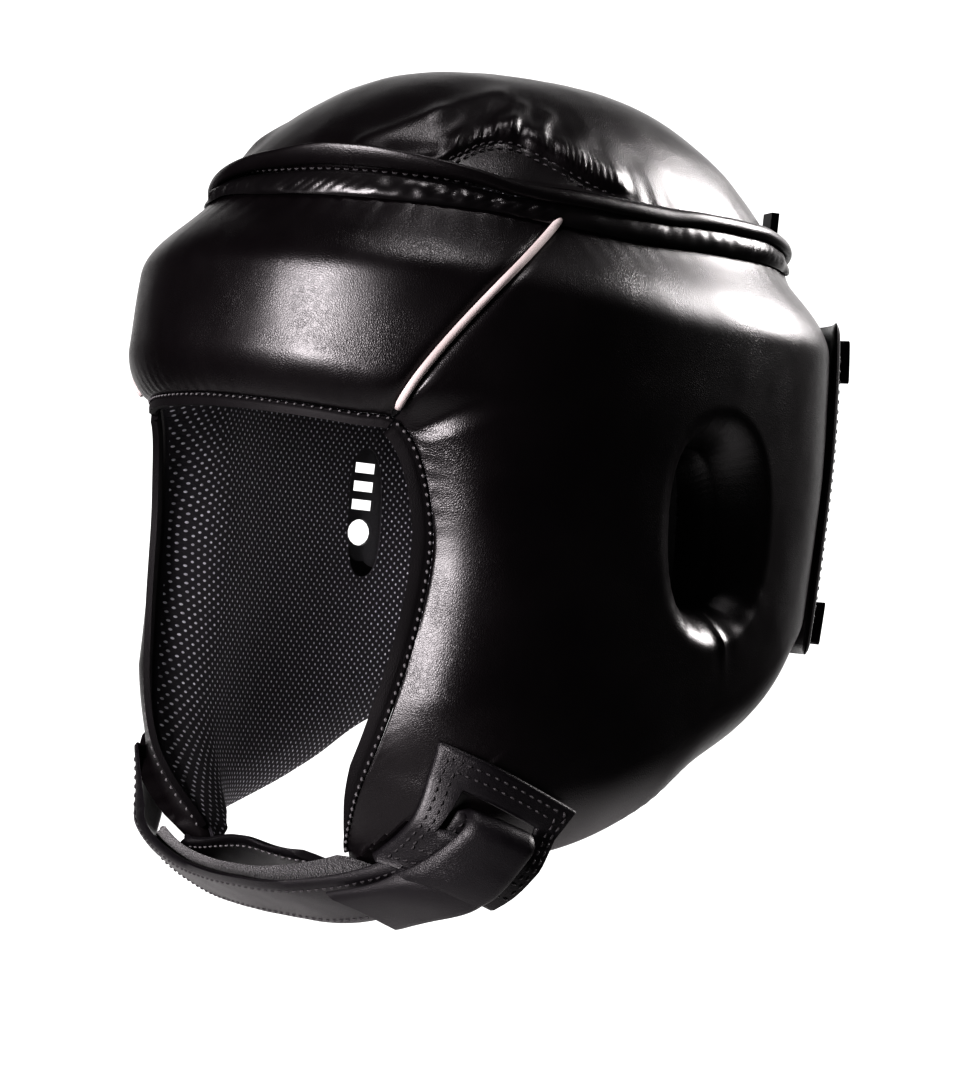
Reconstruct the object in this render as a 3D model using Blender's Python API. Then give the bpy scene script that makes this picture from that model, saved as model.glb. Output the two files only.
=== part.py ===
"""Padded leather head guard: brow pad, side pads, crown pad with its collar, chin strap and rear closure.

Metres, +Z up. The face opening looks along -Y and the wearer's left is +X. The origin is the top of the
hollow, where the crown of the head sits. Angles run round +Z from the front towards the wearer's left.
"""

import math

import bmesh
import bpy
import numpy as np

# Hollow for the head, and the height of the whole guard below the top of the hollow
HEAD_HALF_BREADTH = 0.072
HEAD_FRONT = 0.088
HEAD_BACK = 0.090
HEAD_SQUARENESS = 2.25
GUARD_DROP = 0.237

# Pads
PAD_THICKNESS = 0.026
PAD_RIM = 0.0024
BROW_LIFT = 0.016
BROW_ROLL = 0.016
FACE_LIFT = 0.0155
FACE_ROLL = 0.040
HEM_LIFT = 0.012
HEM_ROLL = 0.022
BACK_LIFT = 0.014
BACK_ROLL = 0.012
TOP_LIFT = 0.008
TOP_ROLL = 0.026
INNER_ROLL = 0.020

# Ear openings
EAR_ANGLE = 102.0
EAR_DROP = 0.122
EAR_OPENING_WIDTH = 0.022
EAR_OPENING_HEIGHT = 0.056
EAR_TILT = 6.0
EAR_SQUARENESS = 2.6
EAR_LIFT = 0.009
EAR_ROLL = 0.014
GRILLE_THICKNESS = 0.002
GRILLE_SLOT_WIDTH = 0.010
GRILLE_SLOT_HEIGHT = 0.0035
GRILLE_SLOT_PITCH = 0.0062
GRILLE_HOLE_RADIUS = 0.0045

# Lining, binding and piping
LINING_THICKNESS = 0.0012
LINING_LIP = 0.005
BINDING_WIDTH = 0.006
BROW_BINDING_WIDTH = 0.004
PIPING_RADIUS = 0.0013
PIPING_SEAT = 0.8
PIPING_GROOVE = 0.0018
PIPING_GROOVE_WIDTH = 0.0022

# Crown pad and its collar
CROWN_HALF_BREADTH = 0.074
CROWN_FRONT = 0.090
CROWN_BACK = 0.092
CROWN_SQUARENESS = 2.2
CROWN_THICKNESS = 0.020
CROWN_DROP = 0.020
CROWN_RIM = 0.009
CROWN_FULLNESS = 2.8
COLLAR_HALF_BREADTH = 0.081
COLLAR_FRONT = 0.096
COLLAR_BACK = 0.102
COLLAR_THICKNESS = 0.0034
COLLAR_WAVE = 0.010
WELT_THICKNESS = 0.002
WELT_INSET = 0.003
TAB_WIDTH = 0.010
TAB_HEIGHT = 0.007
TAB_THICKNESS = 0.0025
TAB_ANGLE = 152.0
TAB_MIDDLE = 0.985

# Chin strap, in a plane that leans back by STRAP_TILT from the vertical
STRAP_WIDTH = 0.028
STRAP_THICKNESS = 0.0028
STRAP_TILT = 23.0
STRAP_DROP = 0.2525
STRAP_FORWARD = 0.025
STRAP_BULGE = 0.003
TAIL_LENGTH = 0.050
LOOP_WIDTH = 0.024
LOOP_THICKNESS = 0.0018
LOOP_FORWARD = 0.003
BAND_WIDTH = 0.026
BAND_THICKNESS = 0.0026
BAND_FORWARD = 0.005
BAND_RISE = 0.006
BAND_CLEAR = 0.12
BAND_TOP = 1.005
BAND_RISE_REACH = 0.55
KEEPER_THICKNESS = 0.0025
KEEPER_FRONT = 0.0146
KEEPER_TOP_DROP = 0.202
KEEPER_TOP_WIDTH = 0.052
KEEPER_FOOT_WIDTH = 0.032
KEEPER_HEIGHT = 0.0335
KEEPER_BAND = 0.0105
KEEPER_SLOT_HEIGHT = 0.0095
KEEPER_SLOT_WIDTH = 0.032
KEEPER_FOOT_BACK = 0.20
KEEPER_SLOT_BACK = 0.12

# Rear closure
REAR_WIDTH = 0.142
REAR_HEIGHT = 0.108
REAR_DROP = 0.100
REAR_THICKNESS = 0.003
ELASTIC_WIDTH = 0.096
ELASTIC_HEIGHT = 0.072
ELASTIC_THICKNESS = 0.0022
REAR_TAB_WIDTH = 0.034
REAR_TAB_HEIGHT = 0.014
REAR_TAB_THICKNESS = 0.0022
REAR_TAB_LIFT = 0.005

# Clearance between pieces that touch on the real guard
GAP = 0.0003

BLACK = (0.012, 0.011, 0.012, 1.0)
WHITE = (0.80, 0.79, 0.76, 1.0)
SLATE = (0.035, 0.038, 0.050, 1.0)

# Sections of the hollow: drop as a share of GUARD_DROP, then shares of half breadth, front and back
HOLLOW_SECTIONS = (
    (0.00, 0.880, 0.900, 0.900),
    (0.10, 0.925, 0.935, 0.935),
    (0.19, 0.970, 0.975, 0.975),
    (0.32, 1.000, 1.000, 1.000),
    (0.57, 1.000, 1.000, 0.990),
    (0.69, 0.995, 0.957, 0.970),
    (0.86, 0.980, 0.826, 0.965),
    (0.94, 0.962, 0.676, 0.965),
    (1.00, 0.950, 0.600, 0.960),
    (1.12, 0.930, 0.480, 0.950),
)

# Free edge of the left half, from the middle of the brow down the face opening, back along the hem and up
# the back edge: angle in degrees, drop as a share of GUARD_DROP, and which roll the pad has there
FREE_EDGE = (
    (-20.0, 0.395, "brow"),
    (0.0, 0.392, "brow"),
    (18.0, 0.396, "brow"),
    (30.0, 0.402, "brow"),
    (36.6, 0.406, "brow"),
    (40.8, 0.440, "face"),
    (43.8, 0.500, "face"),
    (45.2, 0.575, "face"),
    (43.6, 0.690, "face"),
    (39.2, 0.815, "face"),
    (33.8, 0.910, "face"),
    (30.8, 0.965, "hem"),
    (35.0, 0.998, "hem"),
    (55.0, 0.972, "hem"),
    (79.0, 0.928, "hem"),
    (97.0, 0.873, "hem"),
    (112.0, 0.806, "hem"),
    (129.0, 0.755, "hem"),
    (142.0, 0.696, "hem"),
    (151.0, 0.610, "back"),
    (155.5, 0.480, "back"),
    (156.0, 0.320, "back"),
    (153.0, 0.200, "back"),
    (150.0, 0.135, "back"),
)
FOOT_ROW = 4
CORNER_ROW = 11

# Seam between brow and side panel: angle in degrees, drop as a share of GUARD_DROP
PIPING_LINE = ((36.6, 0.406), (42.6, 0.325), (49.0, 0.253), (56.5, 0.180), (63.7, 0.122))

# Rim of the collar: angle in degrees, height above the foot of the crown as a share of COLLAR_WAVE
COLLAR_RIM = (
    (-180.0, -0.75),
    (-140.0, -0.60),
    (-90.0, -0.60),
    (-55.0, -0.70),
    (-30.0, -0.55),
    (-5.0, 0.25),
    (18.0, 0.75),
    (38.0, 0.45),
    (60.0, -0.30),
    (78.0, -0.60),
    (110.0, -0.45),
    (140.0, -0.45),
    (180.0, -0.75),
)

# Line of the strap from its sewn end to the crest where it folds over the keeper: share of the way from the
# middle to the cheek, drop in the strap's own plane as a share of STRAP_DROP, how far its front edge stands
# forward of STRAP_FORWARD as a share of it, and how far it stands off the pad as a share of STRAP_BULGE
STRAP_LINE = (
    (-1.00, 0.848, 0.18, 0.0),
    (-1.00, 0.872, 0.12, 0.1),
    (-1.00, 0.898, 0.05, 0.5),
    (-1.00, 0.925, 0.00, 1.0),
    (-0.92, 0.945, -0.04, 1.0),
    (-0.78, 0.964, -0.06, 1.0),
    (-0.54, 0.985, -0.04, 1.0),
    (-0.27, 0.997, 0.08, 1.0),
    (0.00, 1.000, 0.12, 1.0),
    (0.27, 0.996, 0.06, 1.0),
    (0.54, 0.978, -0.04, 0.8),
    (0.76, 0.957, -0.10, 0.5),
    (0.91, 0.938, -0.12, 0.2),
    (0.98, 0.922, -0.12, 0.0),
    (1.00, 0.902, -0.12, 0.0),
    (1.00, 0.880, -0.12, 0.0),
)
CHEEK_SHARE = 0.925


def hermite(rows, at, column):
    """Smooth curve through one column of a table whose first column rises."""
    x = np.array([row[0] for row in rows], float)
    y = np.array([row[column] for row in rows], float)
    slope = np.gradient(y, x)
    at = np.clip(at, x[0], x[-1])
    k = np.clip(np.searchsorted(x, at) - 1, 0, len(x) - 2)
    step = x[k + 1] - x[k]
    u = (at - x[k]) / step
    start = (1 + 2 * u) * (1 - u) ** 2 * y[k] + u * (1 - u) ** 2 * step * slope[k]
    end = u * u * (3 - 2 * u) * y[k + 1] - u * u * (1 - u) * step * slope[k + 1]
    return start + end


def oval(angle, breadth, front, back, squareness):
    """Radius of a squarish oval at an angle in radians."""
    side = np.abs(np.sin(angle)) / breadth
    depth = np.abs(np.cos(angle)) / np.where(np.cos(angle) > 0, front, back)
    return (side**squareness + depth**squareness) ** (-1 / squareness)


def hollow_radius(angle, z):
    share = -np.asarray(z, float) / GUARD_DROP
    breadth = HEAD_HALF_BREADTH * hermite(HOLLOW_SECTIONS, share, 1)
    front = HEAD_FRONT * hermite(HOLLOW_SECTIONS, share, 2)
    back = HEAD_BACK * hermite(HOLLOW_SECTIONS, share, 3)
    return oval(angle, breadth, front, back, HEAD_SQUARENESS)


def spline(points, steps):
    """Catmull-Rom curve through points, with the given number of steps from each to the next."""
    points = np.asarray(points, float)
    padded = np.vstack([2 * points[0] - points[1], points, 2 * points[-1] - points[-2]])
    found = []
    for k in range(len(points) - 1):
        a, b, c, d = padded[k : k + 4]
        for u in np.arange(steps) / steps:
            cubic = (-a + 3 * b - 3 * c + d) * u**3 + (2 * a - 5 * b + 4 * c - d) * u**2
            found.append(0.5 * (cubic + (c - a) * u + 2 * b))
    return np.array(found + [points[-1]])


# Around the pads, a place is (arc, z): arc is the angle times this middle radius, so lengths are true there
MIDDLE_RADIUS = (HEAD_HALF_BREADTH + HEAD_FRONT + PAD_THICKNESS) / 2
ARC_PER_DEGREE = math.radians(MIDDLE_RADIUS)
ROLLS = {
    "brow": (BROW_LIFT, BROW_ROLL, 0.7),
    "face": (FACE_LIFT, FACE_ROLL, 1.5),
    "hem": (HEM_LIFT, HEM_ROLL, 0.9),
    "back": (BACK_LIFT, BACK_ROLL, 0.9),
}
EDGE_STEPS = 6
EDGE_STRIDE = 3
INNER_ROWS = (0.0, 0.008, 0.018)


def place(angle_degrees, share):
    return angle_degrees * ARC_PER_DEGREE, -share * GUARD_DROP


def crown_radius(angle):
    return oval(angle, CROWN_HALF_BREADTH, CROWN_FRONT, CROWN_BACK, CROWN_SQUARENESS)


def collar_radius(angle):
    return oval(angle, COLLAR_HALF_BREADTH, COLLAR_FRONT, COLLAR_BACK, CROWN_SQUARENESS)


def collar_height(angle, radius):
    """Middle of the collar's leather, which runs from the foot of the crown out to its waved rim."""
    degrees = (np.degrees(angle) + 180) % 360 - 180
    inner = crown_radius(angle) + GAP
    out = np.clip((radius - inner) / (collar_radius(angle) - inner), 0, 1.5)
    rim = COLLAR_WAVE * hermite(COLLAR_RIM, degrees, 1)
    return -CROWN_DROP - COLLAR_THICKNESS / 2 + rim * out**1.3


def top_edge(angle):
    """Height of the pads' top seam, tucked under the collar and its welt."""
    radius = hollow_radius(angle, -CROWN_DROP) + LINING_THICKNESS + TOP_LIFT
    layers = COLLAR_THICKNESS / 2 + WELT_THICKNESS + PAD_RIM / 2 + 4 * GAP
    lowest = np.minimum(collar_height(angle, radius), collar_height(angle, radius + PAD_RIM))
    return lowest - layers


EDGE_ROWS = np.array([(*place(row[0], row[1]), *ROLLS[row[2]]) for row in FREE_EDGE])
EDGE = spline(EDGE_ROWS, EDGE_STEPS)
EDGE_SLOPE = np.gradient(EDGE[:, :2], axis=0)
EDGE_ALONG = EDGE_SLOPE / np.linalg.norm(EDGE_SLOPE, axis=1)[:, None]
FOOT = FOOT_ROW * EDGE_STEPS
CORNER = CORNER_ROW * EDGE_STEPS


def nearest(line, arc, z):
    """Distance to a line of places, and the line's other columns at the nearest point."""
    a, b = line[:-1, :2], line[1:, :2]
    along = b - a
    spot = np.stack([np.ravel(arc), np.ravel(z)], axis=1)[:, None, :]
    u = np.clip(((spot - a) * along).sum(2) / (along**2).sum(1), 0, 1)
    away = np.linalg.norm(a + u[..., None] * along - spot, axis=2)
    k = away.argmin(1)
    pick = np.arange(len(k))
    mixed = line[k, 2:] + u[pick, k][:, None] * (line[k + 1, 2:] - line[k, 2:])
    return away[pick, k].reshape(np.shape(arc)), mixed.reshape(*np.shape(arc), -1)


def rise(distance, width, fullness):
    """0 at an edge and 1 from the given width on, steeper at the start for a lower fullness."""
    return np.sin(np.clip(distance / width, 0, 1) * math.pi / 2) ** fullness


def ear_outline(direction, grow=0.0):
    """Place on the ear opening's outline, seen from its centre in this direction."""
    turned = direction - math.radians(EAR_TILT)
    half_width = EAR_OPENING_WIDTH / 2 + grow
    half_height = EAR_OPENING_HEIGHT / 2 + grow
    side = np.abs(np.cos(turned)) / half_width
    height = np.abs(np.sin(turned)) / half_height
    radius = (side**EAR_SQUARENESS + height**EAR_SQUARENESS) ** (-1 / EAR_SQUARENESS)
    return np.stack([radius * np.cos(direction), radius * np.sin(direction)], axis=-1)


EAR_CENTRE = np.array([EAR_ANGLE * ARC_PER_DEGREE, -EAR_DROP])
EAR_RING = EAR_CENTRE + ear_outline(np.linspace(0, 2 * math.pi, 49))


def piping_seam(side):
    """Places along one side's piping seam, from its foot at the brow's end up to the top seam."""
    line = spline([place(*row) for row in PIPING_LINE], 6)
    reach = np.linspace(0, 1, len(line)) ** 3
    line[:, 1] += (top_edge(side * line[-1, 0] / MIDDLE_RADIUS) - line[-1, 1]) * reach
    return line


PIPING = {side: piping_seam(side) for side in (1, -1)}


def pad_surfaces(arc, z, side):
    """(outer, inner) radius of the pads at a place. The sides differ only at the top seam and the piping."""
    signed = side * np.asarray(arc, float)
    arc = np.abs(signed)
    z = np.asarray(z, float)
    angle = arc / MIDDLE_RADIUS
    low, rolls = nearest(EDGE, arc, z)
    lift, width, fullness = rolls[..., 0], rolls[..., 1], rolls[..., 2]
    under_top = np.maximum(top_edge(signed / MIDDLE_RADIUS) - z, 0)
    ear = nearest(EAR_RING, arc, z)[0]
    low_rise = rise(low, width, fullness)
    top_rise = rise(under_top, TOP_ROLL, 1.4)
    ear_rise = rise(ear, EAR_ROLL, 0.8)
    missing = np.stack([1 - low_rise, 1 - top_rise, 1 - ear_rise]) + 1e-6
    lifts = np.stack([lift, np.full_like(lift, TOP_LIFT), np.full_like(lift, EAR_LIFT)])
    edge_lift = (missing * lifts).sum(0) / missing.sum(0)
    full = low_rise * top_rise * ear_rise
    base = hollow_radius(angle, z) + LINING_THICKNESS + GAP
    seam = np.where(signed > 0, nearest(PIPING[1], arc, z)[0], nearest(PIPING[-1], arc, z)[0])
    groove = PIPING_GROOVE * np.exp(-((seam / PIPING_GROOVE_WIDTH) ** 2))
    outer = base + edge_lift + PAD_RIM / 2 + (PAD_THICKNESS - edge_lift - PAD_RIM / 2) * full
    low_in = rise(low, INNER_ROLL, 0.8)
    top_in = rise(under_top, INNER_ROLL, 0.8)
    missing_in = np.stack([1 - low_in, 1 - top_in]) + 1e-6
    lift_in = (missing_in * lifts[:2]).sum(0) / missing_in.sum(0)
    inner = base + (lift_in - PAD_RIM / 2) * (1 - low_in * top_in)
    return outer - groove * full**0.5, inner


def on_hollow(arc, z, radius, side):
    angle = np.asarray(arc, float) / MIDDLE_RADIUS
    return np.stack([side * radius * np.sin(angle), -radius * np.cos(angle), z + 0 * angle], axis=-1)


def material(name, colour, roughness, metallic=0.0):
    made = bpy.data.materials.new(name)
    made.use_nodes = True
    shader = made.node_tree.nodes["Principled BSDF"]
    shader.inputs["Base Color"].default_value = colour
    shader.inputs["Roughness"].default_value = roughness
    shader.inputs["Metallic"].default_value = metallic
    made.diffuse_color = colour
    return made


def add(name, mesh, colour, roughness):
    made = bpy.data.objects.new(name, mesh)
    mesh.materials.append(material(name, colour, roughness))
    bpy.context.scene.collection.objects.link(made)
    return made


def fill(shape, name, colour, roughness):
    """Turn a closed bmesh into an object whose faces point out."""
    bmesh.ops.recalc_face_normals(shape, faces=shape.faces)
    if shape.calc_volume(signed=True) < 0:
        bmesh.ops.reverse_faces(shape, faces=shape.faces)
    mesh = bpy.data.meshes.new(name)
    shape.to_mesh(mesh)
    shape.free()
    mesh.shade_smooth()
    mesh.set_sharp_from_angle(angle=math.radians(50))
    return add(name, mesh, colour, roughness)


def walled(name, outer, inner, ring, colour=BLACK, roughness=0.45):
    """Closed solid between two grids of points with as many rows, joined end to end if ring is set."""
    rows = len(outer)
    shape = bmesh.new()
    skins = [[[shape.verts.new(spot) for spot in row] for row in grid] for grid in (outer, inner)]
    steps = [(k, (k + 1) % rows) for k in range(rows if ring else rows - 1)]
    for skin in skins:
        for a, b in steps:
            for c in range(len(skin[0]) - 1):
                shape.faces.new((skin[a][c], skin[b][c], skin[b][c + 1], skin[a][c + 1]))
    for a, b in steps:
        for c in (0, -1):
            shape.faces.new((skins[0][a][c], skins[0][b][c], skins[1][b][c], skins[1][a][c]))
    if not ring:
        for a in (0, -1):
            shape.faces.new(skins[0][a] + skins[1][a][::-1])
    return fill(shape, name, colour, roughness)


def forehead():
    """Brow panel between the two piping seams, from the brow edge up to the top seam."""
    across = np.array([0.0, 0.14, 0.28, 0.42, 0.56, 0.70, 0.82, 0.91, 0.965, 1.0])
    across = np.concatenate([-across[:0:-1], across])
    up = np.array([0.0, 0.035, 0.09, 0.17, 0.28, 0.42, 0.56, 0.70, 0.81, 0.90, 0.96, 1.0])
    at = np.linspace(0, 1, len(PIPING[1]))
    halves = []
    for side in (-1, 1):
        seam = np.stack([np.interp(up, at, PIPING[side][:, c]) for c in (0, 1)])
        halves.append(seam - [[PIPING_RADIUS * PIPING_SEAT], [0]])
    near = across[:, None] > 0
    seam_arc = halves[1][0]
    seam_z = np.where(near, halves[1][1], halves[0][1])
    arc = across[:, None] * seam_arc[None, :]
    brow = EDGE[: FOOT + 1]
    brow_shift = np.interp(np.abs(arc[:, 0]), brow[:, 0], brow[:, 1]) - seam_z[:, 0]
    top_shift = top_edge(arc[:, -1] / MIDDLE_RADIUS) - seam_z[:, -1]
    z = seam_z + brow_shift[:, None] * (1 - up) ** 2 + top_shift[:, None] * up**2
    outer, inner = pad_surfaces(arc, z, 1)
    return walled("forehead_pad", on_hollow(arc, z, outer, 1), on_hollow(arc, z, inner, 1), False)


def side_outline(side):
    """Places round the edge of a side panel: piping seam, top seam, back edge, hem and face opening."""
    seam = PIPING[side][::EDGE_STRIDE] + (PIPING_RADIUS * PIPING_SEAT, 0)
    top_arc = np.linspace(seam[-1, 0], EDGE[-1, 0], 13)
    top = np.stack([top_arc, top_edge(side * top_arc / MIDDLE_RADIUS)], axis=1)
    lower = EDGE[FOOT::EDGE_STRIDE, :2][::-1]
    return np.vstack([seam[1:-1], top, lower[1:]])


def rays(near_edge, near_ear, side):
    """Grid of places from a side panel's edge in to the ear opening, at set distances from both."""
    edge = side_outline(side)
    away = edge - EAR_CENTRE
    ear = EAR_CENTRE + ear_outline(np.arctan2(away[:, 1], away[:, 0]))
    span = np.linalg.norm(ear - edge, axis=1)[:, None]
    shares = np.hstack([np.array(near_edge) / span, 0.5 + 0 * span, 1 - np.array(near_ear) / span])
    return edge[:, None, :] + shares[..., None] * (ear - edge)[:, None, :]


def side_pad(name, side):
    spots = rays((0.0, 0.003, 0.008, 0.017), (0.011, 0.004, 0.0), side)
    backs = rays(INNER_ROWS, (0.0,), side)
    outer = pad_surfaces(spots[..., 0], spots[..., 1], side)[0]
    inner = pad_surfaces(backs[..., 0], backs[..., 1], side)[1]
    front = on_hollow(spots[..., 0], spots[..., 1], outer, side)
    back = on_hollow(backs[..., 0], backs[..., 1], inner, side)
    return walled(name, front, back, True)


def side_lining(name, side):
    """Mesh lining inside a side panel. Its ear hole is smaller, so that the ear piece lies on it."""
    spots = rays(INNER_ROWS, (0.0,), side)
    lip = EAR_CENTRE + (spots[:, -1:] - EAR_CENTRE) * (1 - LINING_LIP / EAR_OPENING_WIDTH)
    arc, z = np.moveaxis(np.concatenate([spots, lip], axis=1), 2, 0)
    outer = pad_surfaces(arc, z, side)[1] - GAP
    front = on_hollow(arc, z, outer, side)
    back = on_hollow(arc, z, outer - LINING_THICKNESS, side)
    return walled(name, front, back, True)


def edge_ribbon(first, last, width, taper):
    """Places across a flat ribbon outside a stretch of the free edge, and the lift of the seam along it."""
    line = EDGE[first : last + 1 : EDGE_STRIDE].copy()
    along = EDGE_ALONG[first : last + 1 : EDGE_STRIDE]
    out = np.stack([along[:, 1], -along[:, 0]], axis=1)
    line[0, :2] += along[0] * GAP
    line[-1, :2] -= along[-1] * GAP
    widths = width * np.clip((len(line) - np.arange(len(line))) / 5, 0.3, 1) if taper else width
    away = np.array([0, 0.5, 1])[None, :] * (widths - GAP + np.zeros(len(line)))[:, None] + GAP
    return line[:, None, :2] + away[..., None] * out[:, None, :], line[:, None, 2]


def ribbon(name, spots, lift, side):
    arc, z = spots[..., 0], spots[..., 1]
    middle = hollow_radius(arc / MIDDLE_RADIUS, z) + LINING_THICKNESS + GAP + lift
    outer = on_hollow(arc, z, middle + PAD_RIM / 2, side)
    inner = on_hollow(arc, z, middle - PAD_RIM / 2, side)
    return walled(name, outer, inner, False)


def face_binding(name, side):
    return ribbon(name, *edge_ribbon(FOOT, CORNER, BINDING_WIDTH, True), side)


def brow_binding():
    half, lift = edge_ribbon(EDGE_STEPS, FOOT, BROW_BINDING_WIDTH, False)
    half[0, :, 0] = 0
    other = half[:0:-1] * (-1, 1)
    lifts = np.concatenate([lift[:0:-1], lift])
    return ribbon("brow_binding", np.concatenate([other, half]), lifts, 1)


def piping(name, side):
    """White cord in the groove of the seam between brow and side panel."""
    arc, z = PIPING[side][1:-1:2].T
    radius = pad_surfaces(arc, z, side)[0] + PIPING_RADIUS + 3 * GAP
    points = on_hollow(arc, z, radius, side)
    curve = bpy.data.curves.new(name, "CURVE")
    curve.dimensions = "3D"
    curve.bevel_depth = PIPING_RADIUS
    curve.bevel_resolution = 1
    curve.use_fill_caps = True
    line = curve.splines.new("POLY")
    line.points.add(len(points) - 1)
    for target, spot in zip(line.points, points):
        target.co = (*spot, 1)
    return add(name, curve, WHITE, 0.5)


def crown():
    angles = np.linspace(-math.pi, math.pi, 36, endpoint=False)
    out = np.array([0.20, 0.42, 0.58, 0.71, 0.82, 0.91, 0.97, 1.0])
    grid_angle = angles[:, None] + 0 * out[None, :]
    radius = crown_radius(grid_angle)
    top = CROWN_THICKNESS - (CROWN_THICKNESS + CROWN_DROP) * out**CROWN_FULLNESS
    below = -CROWN_DROP * out**CROWN_FULLNESS
    outer = polar(grid_angle, radius * out, top[None, :] + 0 * grid_angle)
    inner = polar(grid_angle, (radius - CROWN_RIM) * out, below[None, :] + 0 * grid_angle)
    return dome("crown_pad", outer, inner)


def polar(angle, radius, z):
    return np.stack([radius * np.sin(angle), -radius * np.cos(angle), z], axis=-1)


def dome(name, outer, inner):
    """Closed solid between two domes, whose rings meet at a point on the axis."""
    rows = len(outer)
    shape = bmesh.new()
    skins = [[[shape.verts.new(spot) for spot in row] for row in grid] for grid in (outer, inner)]
    heights = (CROWN_THICKNESS, 0.0)
    for a in range(rows):
        b = (a + 1) % rows
        for skin in skins:
            for c in range(len(skin[0]) - 1):
                shape.faces.new((skin[a][c], skin[b][c], skin[b][c + 1], skin[a][c + 1]))
        shape.faces.new((skins[0][a][-1], skins[0][b][-1], skins[1][b][-1], skins[1][a][-1]))
    for skin, height in zip(skins, heights):
        top = shape.verts.new((0, 0, height))
        for a in range(rows):
            shape.faces.new((top, skin[a][0], skin[(a + 1) % rows][0]))
    return fill(shape, name, BLACK, 0.35)


def collar_ring(name, thickness, below, inset, count):
    """Ring of leather round the foot of the crown: the collar itself, or the welt that lies under it."""
    angles = np.linspace(-math.pi, math.pi, count, endpoint=False)
    share = np.array([0.0, 0.6, 1.0])
    angle = angles[:, None] + 0 * share[None, :]
    start = crown_radius(angle) + GAP
    radius = start + (collar_radius(angle) - inset - start) * share
    middle = collar_height(angle, radius) - below
    half = thickness / 2 * np.array([1.0, 1.0, 0.6])
    return walled(name, polar(angle, radius, middle + half), polar(angle, radius, middle - half), True)


def crown_tab():
    angle = math.radians(TAB_ANGLE)
    middle = crown_radius(angle) * TAB_MIDDLE
    wide = np.array([-0.5, 0.5]) * TAB_WIDTH / middle + angle
    low = -CROWN_DROP + GAP * 3
    tall = np.array([low, low + TAB_HEIGHT])
    grid_angle = wide[:, None] + 0 * tall[None, :]
    z = tall[None, :] + 0 * grid_angle
    start = crown_radius(angle) + GAP
    outer = polar(grid_angle, start + TAB_THICKNESS + 0 * z, z)
    inner = polar(grid_angle, start + 0 * z, z)
    return walled("crown_tab", outer, inner, False)


def loop_solid(name, loop, depth_axis, thickness, colour=BLACK, roughness=0.5):
    """Flat solid: a closed outline of points, pushed along a direction."""
    shape = bmesh.new()
    near = [shape.verts.new(spot) for spot in loop]
    far = [shape.verts.new(np.asarray(spot) + np.asarray(depth_axis) * thickness) for spot in loop]
    shape.faces.new(near)
    shape.faces.new(far)
    for k, start in enumerate(near):
        n = (k + 1) % len(near)
        shape.faces.new((start, near[n], far[n], far[k]))
    return fill(shape, name, colour, roughness)


def cut_away(body, cutter):
    cutter.hide_render = True
    cutter.display_type = "WIRE"
    modifier = body.modifiers.new("Cut", "BOOLEAN")
    modifier.operation = "DIFFERENCE"
    modifier.object = cutter


def grille(name, side):
    """Plate at the bottom of the ear opening, with slots and a round hole cut through it."""
    angle = EAR_CENTRE[0] / MIDDLE_RADIUS
    lip = pad_surfaces(EAR_CENTRE[0], EAR_CENTRE[1], side)[1]
    foot = float(lip) + 2 * GAP
    out = np.array([side * math.sin(angle), -math.cos(angle), 0.0])
    back = np.array([side * math.cos(angle), math.sin(angle), 0.0])
    centre = out * foot + (0, 0, EAR_CENTRE[1])
    narrow = foot / MIDDLE_RADIUS

    def spots(flat, base):
        return [centre + out * base + back * x + np.array([0, 0, y]) for x, y in flat]

    rim = ear_outline(np.linspace(0, 2 * math.pi, 28, endpoint=False), -2 * GAP) * (narrow, 1)
    plate = loop_solid(name, spots(rim, 0), out, GRILLE_THICKNESS)
    for k in range(3):
        middle = (2.4 - k) * GRILLE_SLOT_PITCH
        half = np.array([GRILLE_SLOT_WIDTH / 2 * narrow, GRILLE_SLOT_HEIGHT / 2])
        corners = np.array([(-1, -1), (1, -1), (1, 1), (-1, 1)]) * half + (0, middle)
        slot = loop_solid(f"{name}_slot_{k}", spots(corners, -0.001), out, GRILLE_THICKNESS + 0.002)
        cut_away(plate, slot)
    turns = np.linspace(0, 2 * math.pi, 16, endpoint=False)
    ring = np.stack([np.cos(turns), np.sin(turns)], axis=1) * GRILLE_HOLE_RADIUS
    ring = ring + (0, -1.1 * GRILLE_SLOT_PITCH)
    hole = loop_solid(f"{name}_hole", spots(ring, -0.001), out, GRILLE_THICKNESS + 0.002)
    cut_away(plate, hole)
    return plate


LEAN = math.radians(STRAP_TILT)
UP_STRAP = np.array([0.0, math.sin(LEAN), math.cos(LEAN)])
ALONG_STRAP = np.array([0.0, math.cos(LEAN), -math.sin(LEAN)])
CHEEK_UP = -CHEEK_SHARE * STRAP_DROP


def cheek(up, along, offset):
    """Sideways distance of the side pad's face, set out by offset, at a place in the strap's own frame."""
    y = up * UP_STRAP[1] + along * ALONG_STRAP[1]
    z = up * UP_STRAP[2] + along * ALONG_STRAP[2]
    low, high = np.zeros_like(y), np.full_like(y, 2 * HEAD_HALF_BREADTH)
    for _ in range(24):
        middle = (low + high) / 2
        angle = np.arctan2(middle, -y)
        from_face = nearest(EDGE[FOOT : CORNER + 1], angle * MIDDLE_RADIUS, z)[0]
        full = FACE_LIFT + (PAD_THICKNESS - FACE_LIFT) * rise(from_face, FACE_ROLL, 1.5)
        reach = hollow_radius(angle, z) + LINING_THICKNESS + GAP + full + offset
        outside = np.hypot(middle, y) > reach
        low, high = np.where(outside, low, middle), np.where(outside, middle, high)
    return (low + high) / 2


def strap_frame(sideways, up, along):
    across = np.stack([sideways, 0 * up, 0 * up], axis=-1)
    return across + up[..., None] * UP_STRAP + along[..., None] * ALONG_STRAP


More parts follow.
